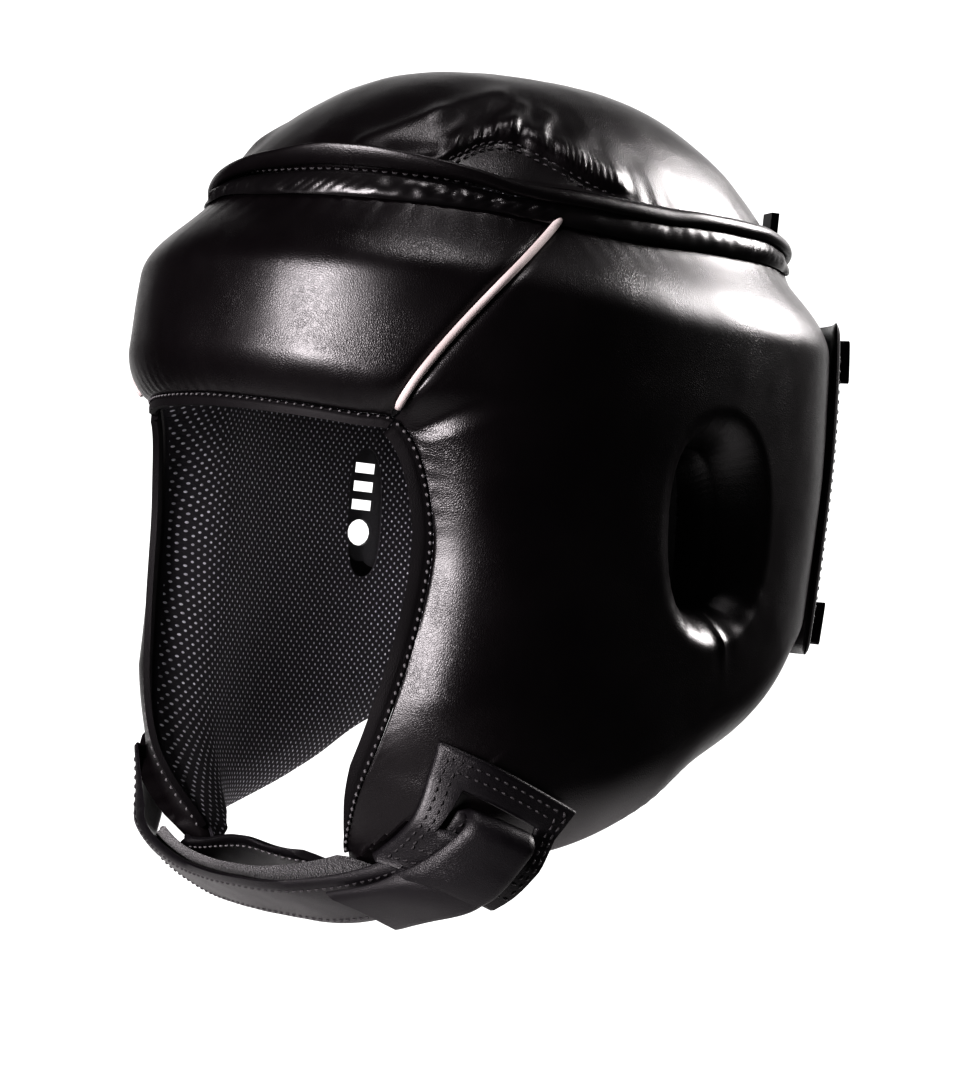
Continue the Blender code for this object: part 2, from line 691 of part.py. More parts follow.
LAYER = STRAP_THICKNESS / 2 + 2 * GAP
FOLD = STRAP_THICKNESS + KEEPER_THICKNESS + 12 * GAP
BAR_TOP = -KEEPER_TOP_DROP - KEEPER_BAND - KEEPER_SLOT_HEIGHT
CREST = BAR_TOP - 2 * GAP
STAND_OFF = LAYER + PAD_RIM / 2
STRAP_ROWS = spline(STRAP_LINE, 2)


def near_side(up, along):
    """Sideways place of the strap's middle on its near half, which the keeper follows too."""
    rows = STRAP_ROWS[STRAP_ROWS[:, 0] >= 0]
    share = np.interp(up / STRAP_DROP, -rows[:, 1], np.minimum(rows[:, 0], 1))
    bulge = np.interp(up / STRAP_DROP, -rows[:, 1], np.maximum(rows[:, 3], 0))
    return share * cheek(np.maximum(up, CHEEK_UP), along, STAND_OFF + STRAP_BULGE * bulge)


def strap_line(width, forward):
    """Middle line of the strap's first leg at its edges and mid-width: sideways, up and along."""
    rows = STRAP_ROWS
    up = -rows[:, 1] * STRAP_DROP
    up[-1] = CREST
    along = STRAP_FORWARD * (1 - rows[:, 2]) - forward
    along = along[:, None] + np.array([0.0, 0.5, 1.0]) * width
    up = up[:, None] + 0 * along
    bulge = STAND_OFF + STRAP_BULGE * np.clip(rows[:, 3:4], 0, 1)
    face = np.clip(rows[:, :1], -1, 1) * cheek(np.maximum(up, CHEEK_UP), along, bulge)
    return np.where(rows[:, :1] > 0.7, near_side(up, along), face), up, along


def outward(sideways, up):
    """Unit normals of a line in the strap's plane, pointing away from the head."""
    d_side = np.gradient(sideways, axis=0)
    d_up = np.gradient(up, axis=0)
    size = np.hypot(d_side, d_up)
    return d_up / size, -d_side / size


def chin_strap():
    """Outer strap: sewn to the right pad, under the chin, through the keeper and folded back to its tail."""
    side, up, along = strap_line(STRAP_WIDTH, 0.0)
    n_side, n_up = outward(side, up)
    back = np.concatenate([[0], np.cumsum(np.hypot(np.diff(side[::-1, 1]), np.diff(up[::-1, 1])))])
    held = KEEPER_HEIGHT - KEEPER_BAND - KEEPER_SLOT_HEIGHT + 4 * GAP
    apart = STRAP_THICKNESS + 2 * GAP
    spread = apart + (FOLD - apart) * (1 - np.clip((back - held) / (TAIL_LENGTH - held), 0, 1))
    count = int((back < TAIL_LENGTH).sum())
    tail = []
    for k in range(count):
        at = len(side) - 1 - k
        shift = spread[k]
        tail.append((side[at] + n_side[at] * shift, up[at] + n_up[at] * shift, along[at]))
    crest = []
    for turn in np.radians((45, 90, 135)):
        middle = side[-1] + n_side[-1] * FOLD / 2
        level = up[-1] + n_up[-1] * FOLD / 2
        swing_side = -n_side[-1] * np.cos(turn) - n_up[-1] * np.sin(turn)
        swing_up = -n_up[-1] * np.cos(turn) + n_side[-1] * np.sin(turn)
        crest.append((middle + swing_side * FOLD / 2, level + swing_up * FOLD / 2, along[-1]))
    rest = np.moveaxis(np.array(crest + tail), 1, 0)
    whole = [np.concatenate(both) for both in zip((side, up, along), rest)]
    return strip("chin_strap", *whole, STRAP_THICKNESS)


def strip(name, side, up, along, thickness, colour=BLACK, roughness=0.5):
    n_side, n_up = outward(side, up)
    half = thickness / 2
    outer = strap_frame(side + n_side * half, up + n_up * half, along)
    inner = strap_frame(side - n_side * half, up - n_up * half, along)
    return walled(name, outer, inner, False, colour, roughness)


def inner_band(name, width, forward, depth, rise, thickness, reach):
    """Layer inside the strap, depth in from its middle line and risen towards the chin in the middle."""
    side, up, along = strap_line(width, forward)
    n_side, n_up = outward(side, up)
    share = side[:, 1] / side[:, 1].max()
    keep = (share > -reach) & (share < reach - BAND_CLEAR) & (up[:, 1] < CHEEK_UP * BAND_TOP)
    inward = depth + rise * np.clip(1 - (share / BAND_RISE_REACH) ** 2, 0, 1) ** 1.5
    side = side - n_side * inward[:, None]
    up = up - n_up * inward[:, None]
    return strip(name, side[keep], up[keep], along[keep], thickness)


def keeper():
    """Leather frame sewn to the left pad, with the slot that the strap comes through over the lower bar."""
    top, foot = -KEEPER_TOP_DROP, -KEEPER_TOP_DROP - KEEPER_HEIGHT
    rear = KEEPER_FRONT + KEEPER_TOP_WIDTH
    foot_front = STRAP_FORWARD * (1 + KEEPER_FOOT_BACK) - (KEEPER_FOOT_WIDTH - STRAP_WIDTH) / 2
    slot_front = STRAP_FORWARD * (1 + KEEPER_SLOT_BACK) - (KEEPER_SLOT_WIDTH - STRAP_WIDTH) / 2
    slot_top = top - KEEPER_BAND
    rim = [(KEEPER_FRONT, top), (rear, top), (foot_front + KEEPER_FOOT_WIDTH, foot), (foot_front, foot)]
    slot = [(slot_front, slot_top), (slot_front + KEEPER_SLOT_WIDTH, slot_top)]
    slot += [(slot_front + KEEPER_SLOT_WIDTH, BAR_TOP), (slot_front, BAR_TOP)]
    share = np.arange(6)[:, None] / 6
    loops = []
    for corners in (np.array(rim), np.array(slot)):
        ends = np.roll(corners, -1, axis=0)
        loops.append(np.vstack([a + (b - a) * share for a, b in zip(corners, ends)]))
    flat = np.stack([loops[0], (loops[0] + loops[1]) / 2, loops[1]], axis=1)
    along, up = flat[..., 0], flat[..., 1]
    lifted = np.clip((slot_top - up) / (slot_top - BAR_TOP), 0, 1)
    base = near_side(up, along)
    step = KEEPER_BAND / 3
    slope = (near_side(up + step, along) - near_side(up - step, along)) / (2 * step)
    n_side, n_up = 1 / np.hypot(1, slope), -slope / np.hypot(1, slope)
    foot_of = lifted * (STRAP_THICKNESS + 6 * GAP) - STRAP_THICKNESS / 2 - 2 * GAP
    inner = strap_frame(base + n_side * foot_of, up + n_up * foot_of, along)
    top_of = foot_of + KEEPER_THICKNESS
    outer = strap_frame(base + n_side * top_of, up + n_up * top_of, along)
    return walled("strap_keeper", outer, inner, True)


def rear_patch(name, width, height, drop, base, thickness, turn=0.0, curl=0.0, colour=BLACK):
    """Panel across the back of the guard, turned round from the middle and curled out towards the left."""
    reach = HEAD_BACK + PAD_THICKNESS
    across = np.linspace(-0.5, 0.5, 13 if width > REAR_TAB_WIDTH else 5)
    angle = math.pi - (turn + across * width) / reach
    z = -drop + height * np.array([0.5, 0.27, -0.05, -0.5])
    angle, z = angle[:, None] + 0 * z[None, :], z[None, :] + 0 * angle[:, None]
    lift = curl * np.clip(across * 2, 0, 1) ** 1.5
    foot = hollow_radius(angle, z) + LINING_THICKNESS + GAP + PAD_THICKNESS + base + lift[:, None]
    outer = polar(angle, foot + thickness, z)
    return walled(name, outer, polar(angle, foot, z), False, colour)


def rear_closure():
    rear_patch("rear_base", REAR_WIDTH, REAR_HEIGHT, REAR_DROP, 2 * GAP, REAR_THICKNESS)
    top = 2 * GAP + REAR_THICKNESS + GAP
    elastic = ("rear_elastic", ELASTIC_WIDTH, ELASTIC_HEIGHT, REAR_DROP, top, ELASTIC_THICKNESS)
    rear_patch(*elastic, colour=SLATE)
    step = (ELASTIC_HEIGHT + REAR_TAB_HEIGHT) / 2 + GAP
    turn = (ELASTIC_WIDTH - REAR_TAB_WIDTH) / 2
    shape = (REAR_TAB_WIDTH, REAR_TAB_HEIGHT)
    for name, drop in (("rear_tab_top", REAR_DROP - step), ("rear_tab_bottom", REAR_DROP + step)):
        rear_patch(name, *shape, drop, top, REAR_TAB_THICKNESS, turn, REAR_TAB_LIFT)


def main():
    for old in list(bpy.data.objects):
        bpy.data.objects.remove(old, do_unlink=True)
    forehead()
    crown()
    collar_ring("crown_collar", COLLAR_THICKNESS, 0.0, 0.0, 48)
    under = (COLLAR_THICKNESS + WELT_THICKNESS) / 2 + 2 * GAP
    collar_ring("collar_welt", WELT_THICKNESS, under, WELT_INSET, 48)
    crown_tab()
    brow_binding()
    for side, word in ((1, "left"), (-1, "right")):
        side_pad(f"side_pad_{word}", side)
        side_lining(f"side_lining_{word}", side)
        face_binding(f"face_binding_{word}", side)
        piping(f"piping_{word}", side)
        grille(f"ear_grille_{word}", side)
    chin_strap()
    loop_depth = (STRAP_THICKNESS + LOOP_THICKNESS) / 2 + 3 * GAP
    inner_band("chin_loop_band", LOOP_WIDTH, LOOP_FORWARD, loop_depth, 0.0, LOOP_THICKNESS, 0.78)
    band_depth = loop_depth + (LOOP_THICKNESS + BAND_THICKNESS) / 2 + GAP
    inner_band("chin_band", BAND_WIDTH, BAND_FORWARD, band_depth, BAND_RISE, BAND_THICKNESS, 0.60)
    keeper()
    rear_closure()


main()
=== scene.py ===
"""Looks of the padded leather head guard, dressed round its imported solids.

Metres, +Z up, in the frame of the solids: the face opening looks along -Y and the wearer's left is +X. Round
the pads a place is (arc, z), where arc is the angle from the front times MIDDLE_RADIUS, so lengths are true.
"""

import math

import bmesh
import bpy
import numpy as np
from mathutils import Matrix, Vector, noise


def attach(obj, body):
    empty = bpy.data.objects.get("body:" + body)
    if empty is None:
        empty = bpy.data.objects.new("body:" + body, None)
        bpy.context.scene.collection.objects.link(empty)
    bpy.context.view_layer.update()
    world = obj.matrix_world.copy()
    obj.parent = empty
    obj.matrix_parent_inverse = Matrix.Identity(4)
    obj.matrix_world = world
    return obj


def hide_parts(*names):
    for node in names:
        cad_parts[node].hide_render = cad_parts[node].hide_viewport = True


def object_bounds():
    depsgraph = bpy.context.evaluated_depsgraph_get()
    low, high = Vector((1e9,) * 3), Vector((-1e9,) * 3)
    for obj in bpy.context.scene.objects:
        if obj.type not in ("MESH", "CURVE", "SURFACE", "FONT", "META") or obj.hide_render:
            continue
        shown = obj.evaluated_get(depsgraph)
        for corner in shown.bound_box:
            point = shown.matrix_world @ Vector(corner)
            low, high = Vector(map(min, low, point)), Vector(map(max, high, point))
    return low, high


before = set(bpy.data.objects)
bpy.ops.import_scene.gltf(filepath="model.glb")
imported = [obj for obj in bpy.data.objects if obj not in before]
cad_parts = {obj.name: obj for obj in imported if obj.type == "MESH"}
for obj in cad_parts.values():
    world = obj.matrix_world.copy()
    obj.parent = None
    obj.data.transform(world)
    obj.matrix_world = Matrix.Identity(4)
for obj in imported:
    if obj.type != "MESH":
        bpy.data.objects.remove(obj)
CAD_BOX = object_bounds()

# Hollow for the head
HEAD_HALF_BREADTH = 0.072
HEAD_FRONT = 0.088
HEAD_BACK = 0.090
HEAD_SQUARENESS = 2.25
GUARD_DROP = 0.237

# Pads
PAD_THICKNESS = 0.026
PAD_RIM = 0.0024
BROW_LIFT = 0.016
BROW_ROLL = 0.016
FACE_LIFT = 0.0155
FACE_ROLL = 0.040
FACE_ROLL_SHORT = 0.0115
FACE_STEEPNESS = 1.25
KEEPER_FADE = 0.022
HEM_LIFT = 0.012
HEM_ROLL = 0.022
BACK_LIFT = 0.014
BACK_ROLL = 0.012
TOP_LIFT = 0.008
TOP_ROLL = 0.026
TOP_ROLL_WIDER = 0.003
INNER_ROLL = 0.020

# Ear openings
EAR_ANGLE = 102.0
EAR_DROP = 0.122
EAR_OPENING_WIDTH = 0.022
EAR_OPENING_HEIGHT = 0.056
EAR_TILT = 6.0
EAR_SQUARENESS = 2.6
EAR_LIFT = 0.009
EAR_ROLL = 0.014
EAR_BACK_WIDER = 0.005
EAR_FOOT_HIGHER = 0.007
EAR_NARROWER = 0.22

# Lining, binding and piping
LINING_THICKNESS = 0.0012
LINING_LIP = 0.005
BINDING_WIDTH = 0.006
BROW_BINDING_WIDTH = 0.004
PIPING_RADIUS = 0.0013
PIPING_SEAT = 0.8
PIPING_GROOVE = 0.0018
PIPING_GROOVE_WIDTH = 0.0022

# Crown pad and its collar
CROWN_HALF_BREADTH = 0.074
CROWN_FRONT = 0.090
CROWN_BACK = 0.092
CROWN_SQUARENESS = 2.2
CROWN_THICKNESS = 0.020
CROWN_DROP = 0.020
CROWN_RIM = 0.009
CROWN_FULLNESS = 2.8
COLLAR_HALF_BREADTH = 0.081
COLLAR_FRONT = 0.096
COLLAR_BACK = 0.102
COLLAR_THICKNESS = 0.0034
COLLAR_WAVE = 0.010
WELT_THICKNESS = 0.002
WELT_INSET = 0.003

# Chin strap
STRAP_WIDTH = 0.028
STRAP_THICKNESS = 0.0028
STRAP_TILT = 23.0
STRAP_DROP = 0.2525
STRAP_FORWARD = 0.025
STRAP_BULGE = 0.003
TAIL_LENGTH = 0.050
LOOP_WIDTH = 0.024
LOOP_THICKNESS = 0.0018
LOOP_FORWARD = 0.003
BAND_WIDTH = 0.026
BAND_THICKNESS = 0.0026
BAND_FORWARD = 0.005
BAND_RISE = 0.006
BAND_CLEAR = 0.12
BAND_TOP = 1.005
LOOP_REACH = 0.78
BAND_REACH = 0.60
BAND_RISE_REACH = 0.55
KEEPER_THICKNESS = 0.0025
KEEPER_FRONT = 0.0146
KEEPER_TOP_DROP = 0.202
KEEPER_TOP_WIDTH = 0.052
KEEPER_FOOT_WIDTH = 0.032
KEEPER_HEIGHT = 0.0335
KEEPER_BAND = 0.0105
KEEPER_SLOT_HEIGHT = 0.0095
KEEPER_SLOT_WIDTH = 0.032
KEEPER_FOOT_BACK = 0.20
KEEPER_SLOT_BACK = 0.12

# Rear closure
REAR_WIDTH = 0.142
REAR_HEIGHT = 0.108
REAR_DROP = 0.100
REAR_THICKNESS = 0.003
ELASTIC_WIDTH = 0.096
ELASTIC_HEIGHT = 0.072
ELASTIC_THICKNESS = 0.0022
REAR_TAB_WIDTH = 0.034
REAR_TAB_HEIGHT = 0.014
REAR_TAB_THICKNESS = 0.0022
REAR_TAB_LIFT = 0.005

GAP = 0.0003

# Sections of the hollow: drop as a share of GUARD_DROP, then shares of half breadth, front and back
HOLLOW_SECTIONS = (
    (0.00, 0.880, 0.900, 0.900),
    (0.10, 0.925, 0.935, 0.935),
    (0.19, 0.970, 0.975, 0.975),
    (0.32, 1.000, 1.000, 1.000),
    (0.57, 1.000, 1.000, 0.990),
    (0.69, 0.995, 0.957, 0.970),
    (0.86, 0.980, 0.826, 0.965),
    (0.94, 0.962, 0.676, 0.965),
    (1.00, 0.950, 0.600, 0.960),
    (1.12, 0.930, 0.480, 0.950),
)

# Free edge of one half, from the brow down the face opening, back along the hem and up the back edge: angle
# in degrees, drop as a share of GUARD_DROP, and which roll the pad has there
FREE_EDGE = (
    (-20.0, 0.395, "brow"),
    (0.0, 0.392, "brow"),
    (18.0, 0.396, "brow"),
    (30.0, 0.402, "brow"),
    (36.6, 0.406, "brow"),
    (40.8, 0.440, "face"),
    (43.8, 0.500, "face"),
    (45.2, 0.575, "face"),
    (43.6, 0.690, "face"),
    (39.2, 0.815, "face"),
    (33.8, 0.910, "face"),
    (30.8, 0.965, "hem"),
    (35.0, 0.998, "hem"),
    (55.0, 0.972, "hem"),
    (79.0, 0.928, "hem"),
    (97.0, 0.873, "hem"),
    (112.0, 0.806, "hem"),
    (129.0, 0.755, "hem"),
    (142.0, 0.696, "hem"),
    (151.0, 0.610, "back"),
    (155.5, 0.480, "back"),
    (156.0, 0.320, "back"),
    (153.0, 0.200, "back"),
    (150.0, 0.135, "back"),
)
FOOT_ROW = 4
CORNER_ROW = 11

# Seam between brow and side panel: angle in degrees, drop as a share of GUARD_DROP
PIPING_LINE = ((36.6, 0.406), (42.6, 0.325), (49.0, 0.253), (56.5, 0.180), (63.7, 0.122))

# Rim of the collar: angle in degrees, height above the foot of the crown as a share of COLLAR_WAVE
COLLAR_RIM = (
    (-180.0, -0.75),
    (-140.0, -0.60),
    (-90.0, -0.60),
    (-55.0, -0.70),
    (-30.0, -0.55),
    (-5.0, 0.25),
    (18.0, 0.75),
    (38.0, 0.45),
    (60.0, -0.30),
    (78.0, -0.60),
    (110.0, -0.45),
    (140.0, -0.45),
    (180.0, -0.75),
)

# Line of the strap up to the crest where it folds over the keeper: share of the way from the middle to the
# cheek, drop as a share of STRAP_DROP, shares of STRAP_FORWARD and of STRAP_BULGE
STRAP_LINE = (
    (-1.00, 0.848, 0.18, 0.0),
    (-1.00, 0.872, 0.12, 0.1),
    (-1.00, 0.898, 0.05, 0.5),
    (-1.00, 0.925, 0.00, 1.0),
    (-0.92, 0.945, -0.04, 1.0),
    (-0.78, 0.964, -0.06, 1.0),
    (-0.54, 0.985, -0.04, 1.0),
    (-0.27, 0.997, 0.08, 1.0),
    (0.00, 1.000, 0.12, 1.0),
    (0.27, 0.996, 0.06, 1.0),
    (0.54, 0.978, -0.04, 0.8),
    (0.76, 0.957, -0.10, 0.5),
    (0.91, 0.938, -0.12, 0.2),
    (0.98, 0.922, -0.12, 0.0),
    (1.00, 0.902, -0.12, 0.0),
    (1.00, 0.880, -0.12, 0.0),
)
CHEEK_SHARE = 0.925

# The surface stays smooth this near a seam, and threads lie this far above it
EDGE_STILL = 0.0006
THREAD_LIFT = 0.0002


def unit(share):
    return np.clip(share, 0, 1)


def smooth(share):
    """A share held between 0 and 1, level at both."""
    return unit(share) ** 2 * (3 - 2 * unit(share))


def bell(distance, width):
    return np.exp(-((distance / width) ** 2))


def run_of(line):
    """Length along a line of points, up to each of them."""
    return np.concatenate([[0], np.cumsum(np.linalg.norm(np.diff(line, axis=0), axis=1))])


def hermite(rows, at, column):
    """Smooth curve through one column of a table whose first column rises."""
    x = np.array([row[0] for row in rows], float)
    y = np.array([row[column] for row in rows], float)
    slope = np.gradient(y, x)
    at = np.clip(at, x[0], x[-1])
    k = np.clip(np.searchsorted(x, at) - 1, 0, len(x) - 2)
    step = x[k + 1] - x[k]
    u = (at - x[k]) / step
    start = (1 + 2 * u) * (1 - u) ** 2 * y[k] + u * (1 - u) ** 2 * step * slope[k]
    end = u * u * (3 - 2 * u) * y[k + 1] - u * u * (1 - u) * step * slope[k + 1]
    return start + end


def oval(angle, breadth, front, back, squareness):
    """Radius of a squarish oval at an angle in radians."""
    side = np.abs(np.sin(angle)) / breadth
    depth = np.abs(np.cos(angle)) / np.where(np.cos(angle) > 0, front, back)
    return (side**squareness + depth**squareness) ** (-1 / squareness)


def hollow_radius(angle, z):
    share = -np.asarray(z, float) / GUARD_DROP
    breadth = HEAD_HALF_BREADTH * hermite(HOLLOW_SECTIONS, share, 1)
    front = HEAD_FRONT * hermite(HOLLOW_SECTIONS, share, 2)
    back = HEAD_BACK * hermite(HOLLOW_SECTIONS, share, 3)
    return oval(angle, breadth, front, back, HEAD_SQUARENESS)


def spline(points, steps):
    """Catmull-Rom curve through points, with the given number of steps from each to the next."""
    points = np.asarray(points, float)
    padded = np.vstack([2 * points[0] - points[1], points, 2 * points[-1] - points[-2]])
    found = []
    for k in range(len(points) - 1):
        a, b, c, d = padded[k : k + 4]
        for u in np.arange(steps) / steps:
            cubic = (-a + 3 * b - 3 * c + d) * u**3 + (2 * a - 5 * b + 4 * c - d) * u**2
            found.append(0.5 * (cubic + (c - a) * u + 2 * b))
    return np.array(found + [points[-1]])


MIDDLE_RADIUS = (HEAD_HALF_BREADTH + HEAD_FRONT + PAD_THICKNESS) / 2
ARC_PER_DEGREE = math.radians(MIDDLE_RADIUS)
ROLLS = {
    "brow": (BROW_LIFT, BROW_ROLL, 0.7),
    "face": (FACE_LIFT, FACE_ROLL, 1.5),
    "hem": (HEM_LIFT, HEM_ROLL, 0.9),
    "back": (BACK_LIFT, BACK_ROLL, 0.9),
}
EDGE_STEPS = 12
NEAREST_AT_ONCE = 4000


def place(angle_degrees, share):
    return angle_degrees * ARC_PER_DEGREE, -share * GUARD_DROP


def crown_radius(angle):
    return oval(angle, CROWN_HALF_BREADTH, CROWN_FRONT, CROWN_BACK, CROWN_SQUARENESS)


def collar_radius(angle):
    return oval(angle, COLLAR_HALF_BREADTH, COLLAR_FRONT, COLLAR_BACK, CROWN_SQUARENESS)


def collar_height(angle, radius):
    """Middle of the collar's leather, which runs from the foot of the crown out to its waved rim."""
    degrees = (np.degrees(angle) + 180) % 360 - 180
    inner = crown_radius(angle) + GAP
    out = np.clip((radius - inner) / (collar_radius(angle) - inner), 0, 1.5)
    rim = COLLAR_WAVE * hermite(COLLAR_RIM, degrees, 1)
    return -CROWN_DROP - COLLAR_THICKNESS / 2 + rim * out**1.3


def top_edge(angle):
    """Height of the pads' top seam, tucked under the collar and its welt."""
    radius = hollow_radius(angle, -CROWN_DROP) + LINING_THICKNESS + TOP_LIFT
    layers = COLLAR_THICKNESS / 2 + WELT_THICKNESS + PAD_RIM / 2 + 4 * GAP
    lowest = np.minimum(collar_height(angle, radius), collar_height(angle, radius + PAD_RIM))
    return lowest - layers


EDGE_ROWS = np.array([(*place(row[0], row[1]), *ROLLS[row[2]]) for row in FREE_EDGE])
EDGE = spline(EDGE_ROWS, EDGE_STEPS)
EDGE_SLOPE = np.gradient(EDGE[:, :2], axis=0)
EDGE_ALONG = EDGE_SLOPE / np.linalg.norm(EDGE_SLOPE, axis=1)[:, None]
FOOT = FOOT_ROW * EDGE_STEPS
CORNER = CORNER_ROW * EDGE_STEPS


def nearest(line, arc, z):
    """Distance to a line of places, and the line's other columns at the nearest point."""
    a, b = line[:-1, :2], line[1:, :2]
    along = b - a
    away, mixed = [], []
    spots = np.stack([np.ravel(arc), np.ravel(z)], axis=1)
    for spot in np.array_split(spots, 1 + len(spots) // NEAREST_AT_ONCE):
        offset = spot[:, None, :] - a
        u = unit((offset * along).sum(2) / (along**2).sum(1))
        far = np.linalg.norm(offset - u[..., None] * along, axis=2)
        k = far.argmin(1)
        pick = np.arange(len(k))
        away.append(far[pick, k])
        mixed.append(line[k, 2:] + u[pick, k][:, None] * (line[k + 1, 2:] - line[k, 2:]))
    return np.concatenate(away).reshape(np.shape(arc)), np.concatenate(mixed).reshape(*np.shape(arc), -1)


def rise(distance, width, fullness):
    """0 at an edge and 1 from the given width on, steeper at the start for a lower fullness."""
    return np.sin(unit(distance / width) * math.pi / 2) ** fullness


def ear_outline(direction, wider=0.0, higher=0.0):
    """Place on the ear opening's outline seen from its centre, widened at the back, raised at the foot."""
    turned = direction - math.radians(EAR_TILT)
    side = np.abs(np.cos(turned)) / (EAR_OPENING_WIDTH / 2 + np.where(np.cos(turned) > 0, wider, 0.0))
    height = np.abs(np.sin(turned)) / (EAR_OPENING_HEIGHT / 2 - np.where(np.sin(turned) < 0, higher, 0.0))
    radius = (side**EAR_SQUARENESS + height**EAR_SQUARENESS) ** (-1 / EAR_SQUARENESS)
    return np.stack([radius * np.cos(direction), radius * np.sin(direction)], axis=-1)


EAR_CENTRE = np.array([EAR_ANGLE * ARC_PER_DEGREE, -EAR_DROP])
EAR_RING = EAR_CENTRE + ear_outline(np.linspace(0, 2 * math.pi, 73), EAR_BACK_WIDER, EAR_FOOT_HIGHER)


def piping_seam(side):
    """Places along one side's piping seam, from its foot at the brow's end up to the top seam."""
    line = spline([place(*row) for row in PIPING_LINE], 14)
    reach = np.linspace(0, 1, len(line)) ** 3
    line[:, 1] += (top_edge(side * line[-1, 0] / MIDDLE_RADIUS) - line[-1, 1]) * reach
    return line


PIPING = {side: piping_seam(side) for side in (1, -1)}


def blended(rises, lifts):
    """Lift between those of several edges, each weighted by what the pad's rise from it still lacks."""
    missing = 1 - np.stack(rises) + 1e-6
    return (missing * np.stack(lifts)).sum(0) / missing.sum(0)


def pad_surfaces(arc, z, side):
    """(outer, inner) radius of the pads at a place."""
    signed = side * np.asarray(arc, float)
    arc = np.abs(signed)
    z = np.asarray(z, float)
    angle = arc / MIDDLE_RADIUS
    low, rolls = nearest(EDGE, arc, z)
    lift, width, fullness = np.moveaxis(rolls, -1, 0)
    under_top = np.maximum(top_edge(signed / MIDDLE_RADIUS) - z, 0)
    above_keeper = unit((z + KEEPER_TOP_DROP) / KEEPER_FADE)
    stuffed = 1 - np.exp(-((low / FACE_ROLL_SHORT) ** FACE_STEEPNESS))
    face = unit((fullness - 1.2) / 0.3) * above_keeper
    low_rise = rise(low, width, fullness)
    low_rise = low_rise + (np.maximum(stuffed, low_rise) - low_rise) * face
    top_rise = rise(under_top, TOP_ROLL + TOP_ROLL_WIDER * unit((np.degrees(angle) - 70) / 25), 1.4)
    behind = unit((arc - EAR_CENTRE[0]) / EAR_OPENING_WIDTH)
    ear_rise = rise(nearest(EAR_RING, arc, z)[0], EAR_ROLL - EAR_BACK_WIDER * behind, 0.8)
    lifts = (lift, TOP_LIFT + 0 * lift, EAR_LIFT + 0 * lift)
    foot = blended((low_rise, top_rise, ear_rise), lifts) + PAD_RIM / 2
    full = low_rise * top_rise * ear_rise
    base = hollow_radius(angle, z) + LINING_THICKNESS + GAP
    seam = np.where(signed > 0, nearest(PIPING[1], arc, z)[0], nearest(PIPING[-1], arc, z)[0])
    outer = base + foot + (PAD_THICKNESS - foot) * full
    low_in, top_in = rise(low, INNER_ROLL, 0.8), rise(under_top, INNER_ROLL, 0.8)
    inner = base + (blended((low_in, top_in), lifts[:2]) - PAD_RIM / 2) * (1 - low_in * top_in)
    return outer - PIPING_GROOVE * bell(seam, PIPING_GROOVE_WIDTH) * full**0.5, inner


def on_hollow(arc, z, radius, side):
    return polar(side * np.asarray(arc, float) / MIDDLE_RADIUS, radius, z)


def polar(angle, radius, z):
    return np.stack([radius * np.sin(angle), -radius * np.cos(angle), z + 0 * angle], axis=-1)


class Graph:
    """Short hand for wiring the nodes of a material or of the world."""

    def __init__(self, name, kind=bpy.data.materials):
        self.owner = kind.new(name)
        self.owner.use_nodes = True
        self.nodes = self.owner.node_tree.nodes
        self.links = self.owner.node_tree.links
        self.shader = self.nodes.get("Principled BSDF")

    def plug(self, value, socket):
        if isinstance(value, bpy.types.NodeSocket):
            self.links.new(value, socket)
        else:
            socket.default_value = value

    def add(self, kind, inputs=None, **settings):
        node = self.nodes.new(kind)
        for key, value in settings.items():
            setattr(node, key, value)
        for key, value in (inputs or {}).items():
            self.plug(value, node.inputs[key])
        return node

    def math(self, operation, a, b=0.0):
        return self.add("ShaderNodeMath", {0: a, 1: b}, operation=operation).outputs[0]

    def times(self, a, b):
        return self.math("MULTIPLY", a, b)

    def plus(self, a, b):
        return self.math("ADD", a, b)

    def ramp(self, value, low, high, out_low=0.0, out_high=1.0):
        inputs = {"Value": value, 1: low, 2: high, 3: out_low, 4: out_high}
        return self.add("ShaderNodeMapRange", inputs).outputs[0]

    def mix(self, share, a, b):
        """Colour between two, given as three shares of red, green and blue."""
        inputs = {0: share, 6: (*a, 1.0), 7: (*b, 1.0)}
        return self.add("ShaderNodeMix", inputs, data_type="RGBA").outputs[2]

    def noise(self, vector, scale, detail=2.0, roughness=0.5):
        inputs = {"Vector": vector, "Scale": scale, "Detail": detail, "Roughness": roughness}
        return self.add("ShaderNodeTexNoise", inputs).outputs["Fac"]

    def place(self):
        return self.add("ShaderNodeTexCoord").outputs["Object"]

    def cells(self, vector, scale, feature="F1"):
        inputs = {"Vector": vector, "Scale": scale}
        return self.add("ShaderNodeTexVoronoi", inputs, feature=feature).outputs["Distance"]

    def flat(self):
        """Metres along and across a piece, from its UV map."""
        return self.add("ShaderNodeTexCoord").outputs["UV"]

    def bump(self, height, distance):
        inputs = {"Height": height, "Distance": distance, "Strength": 1.0}
        return self.add("ShaderNodeBump", inputs).outputs[0]

    def show(self, shader):
        out = next(n for n in self.nodes if n.type.startswith("OUTPUT"))
        self.links.new(shader, out.inputs["Surface"])

    def set(self, **values):
        for key, value in values.items():
            self.plug(value, self.shader.inputs[key.replace("_", " ")])


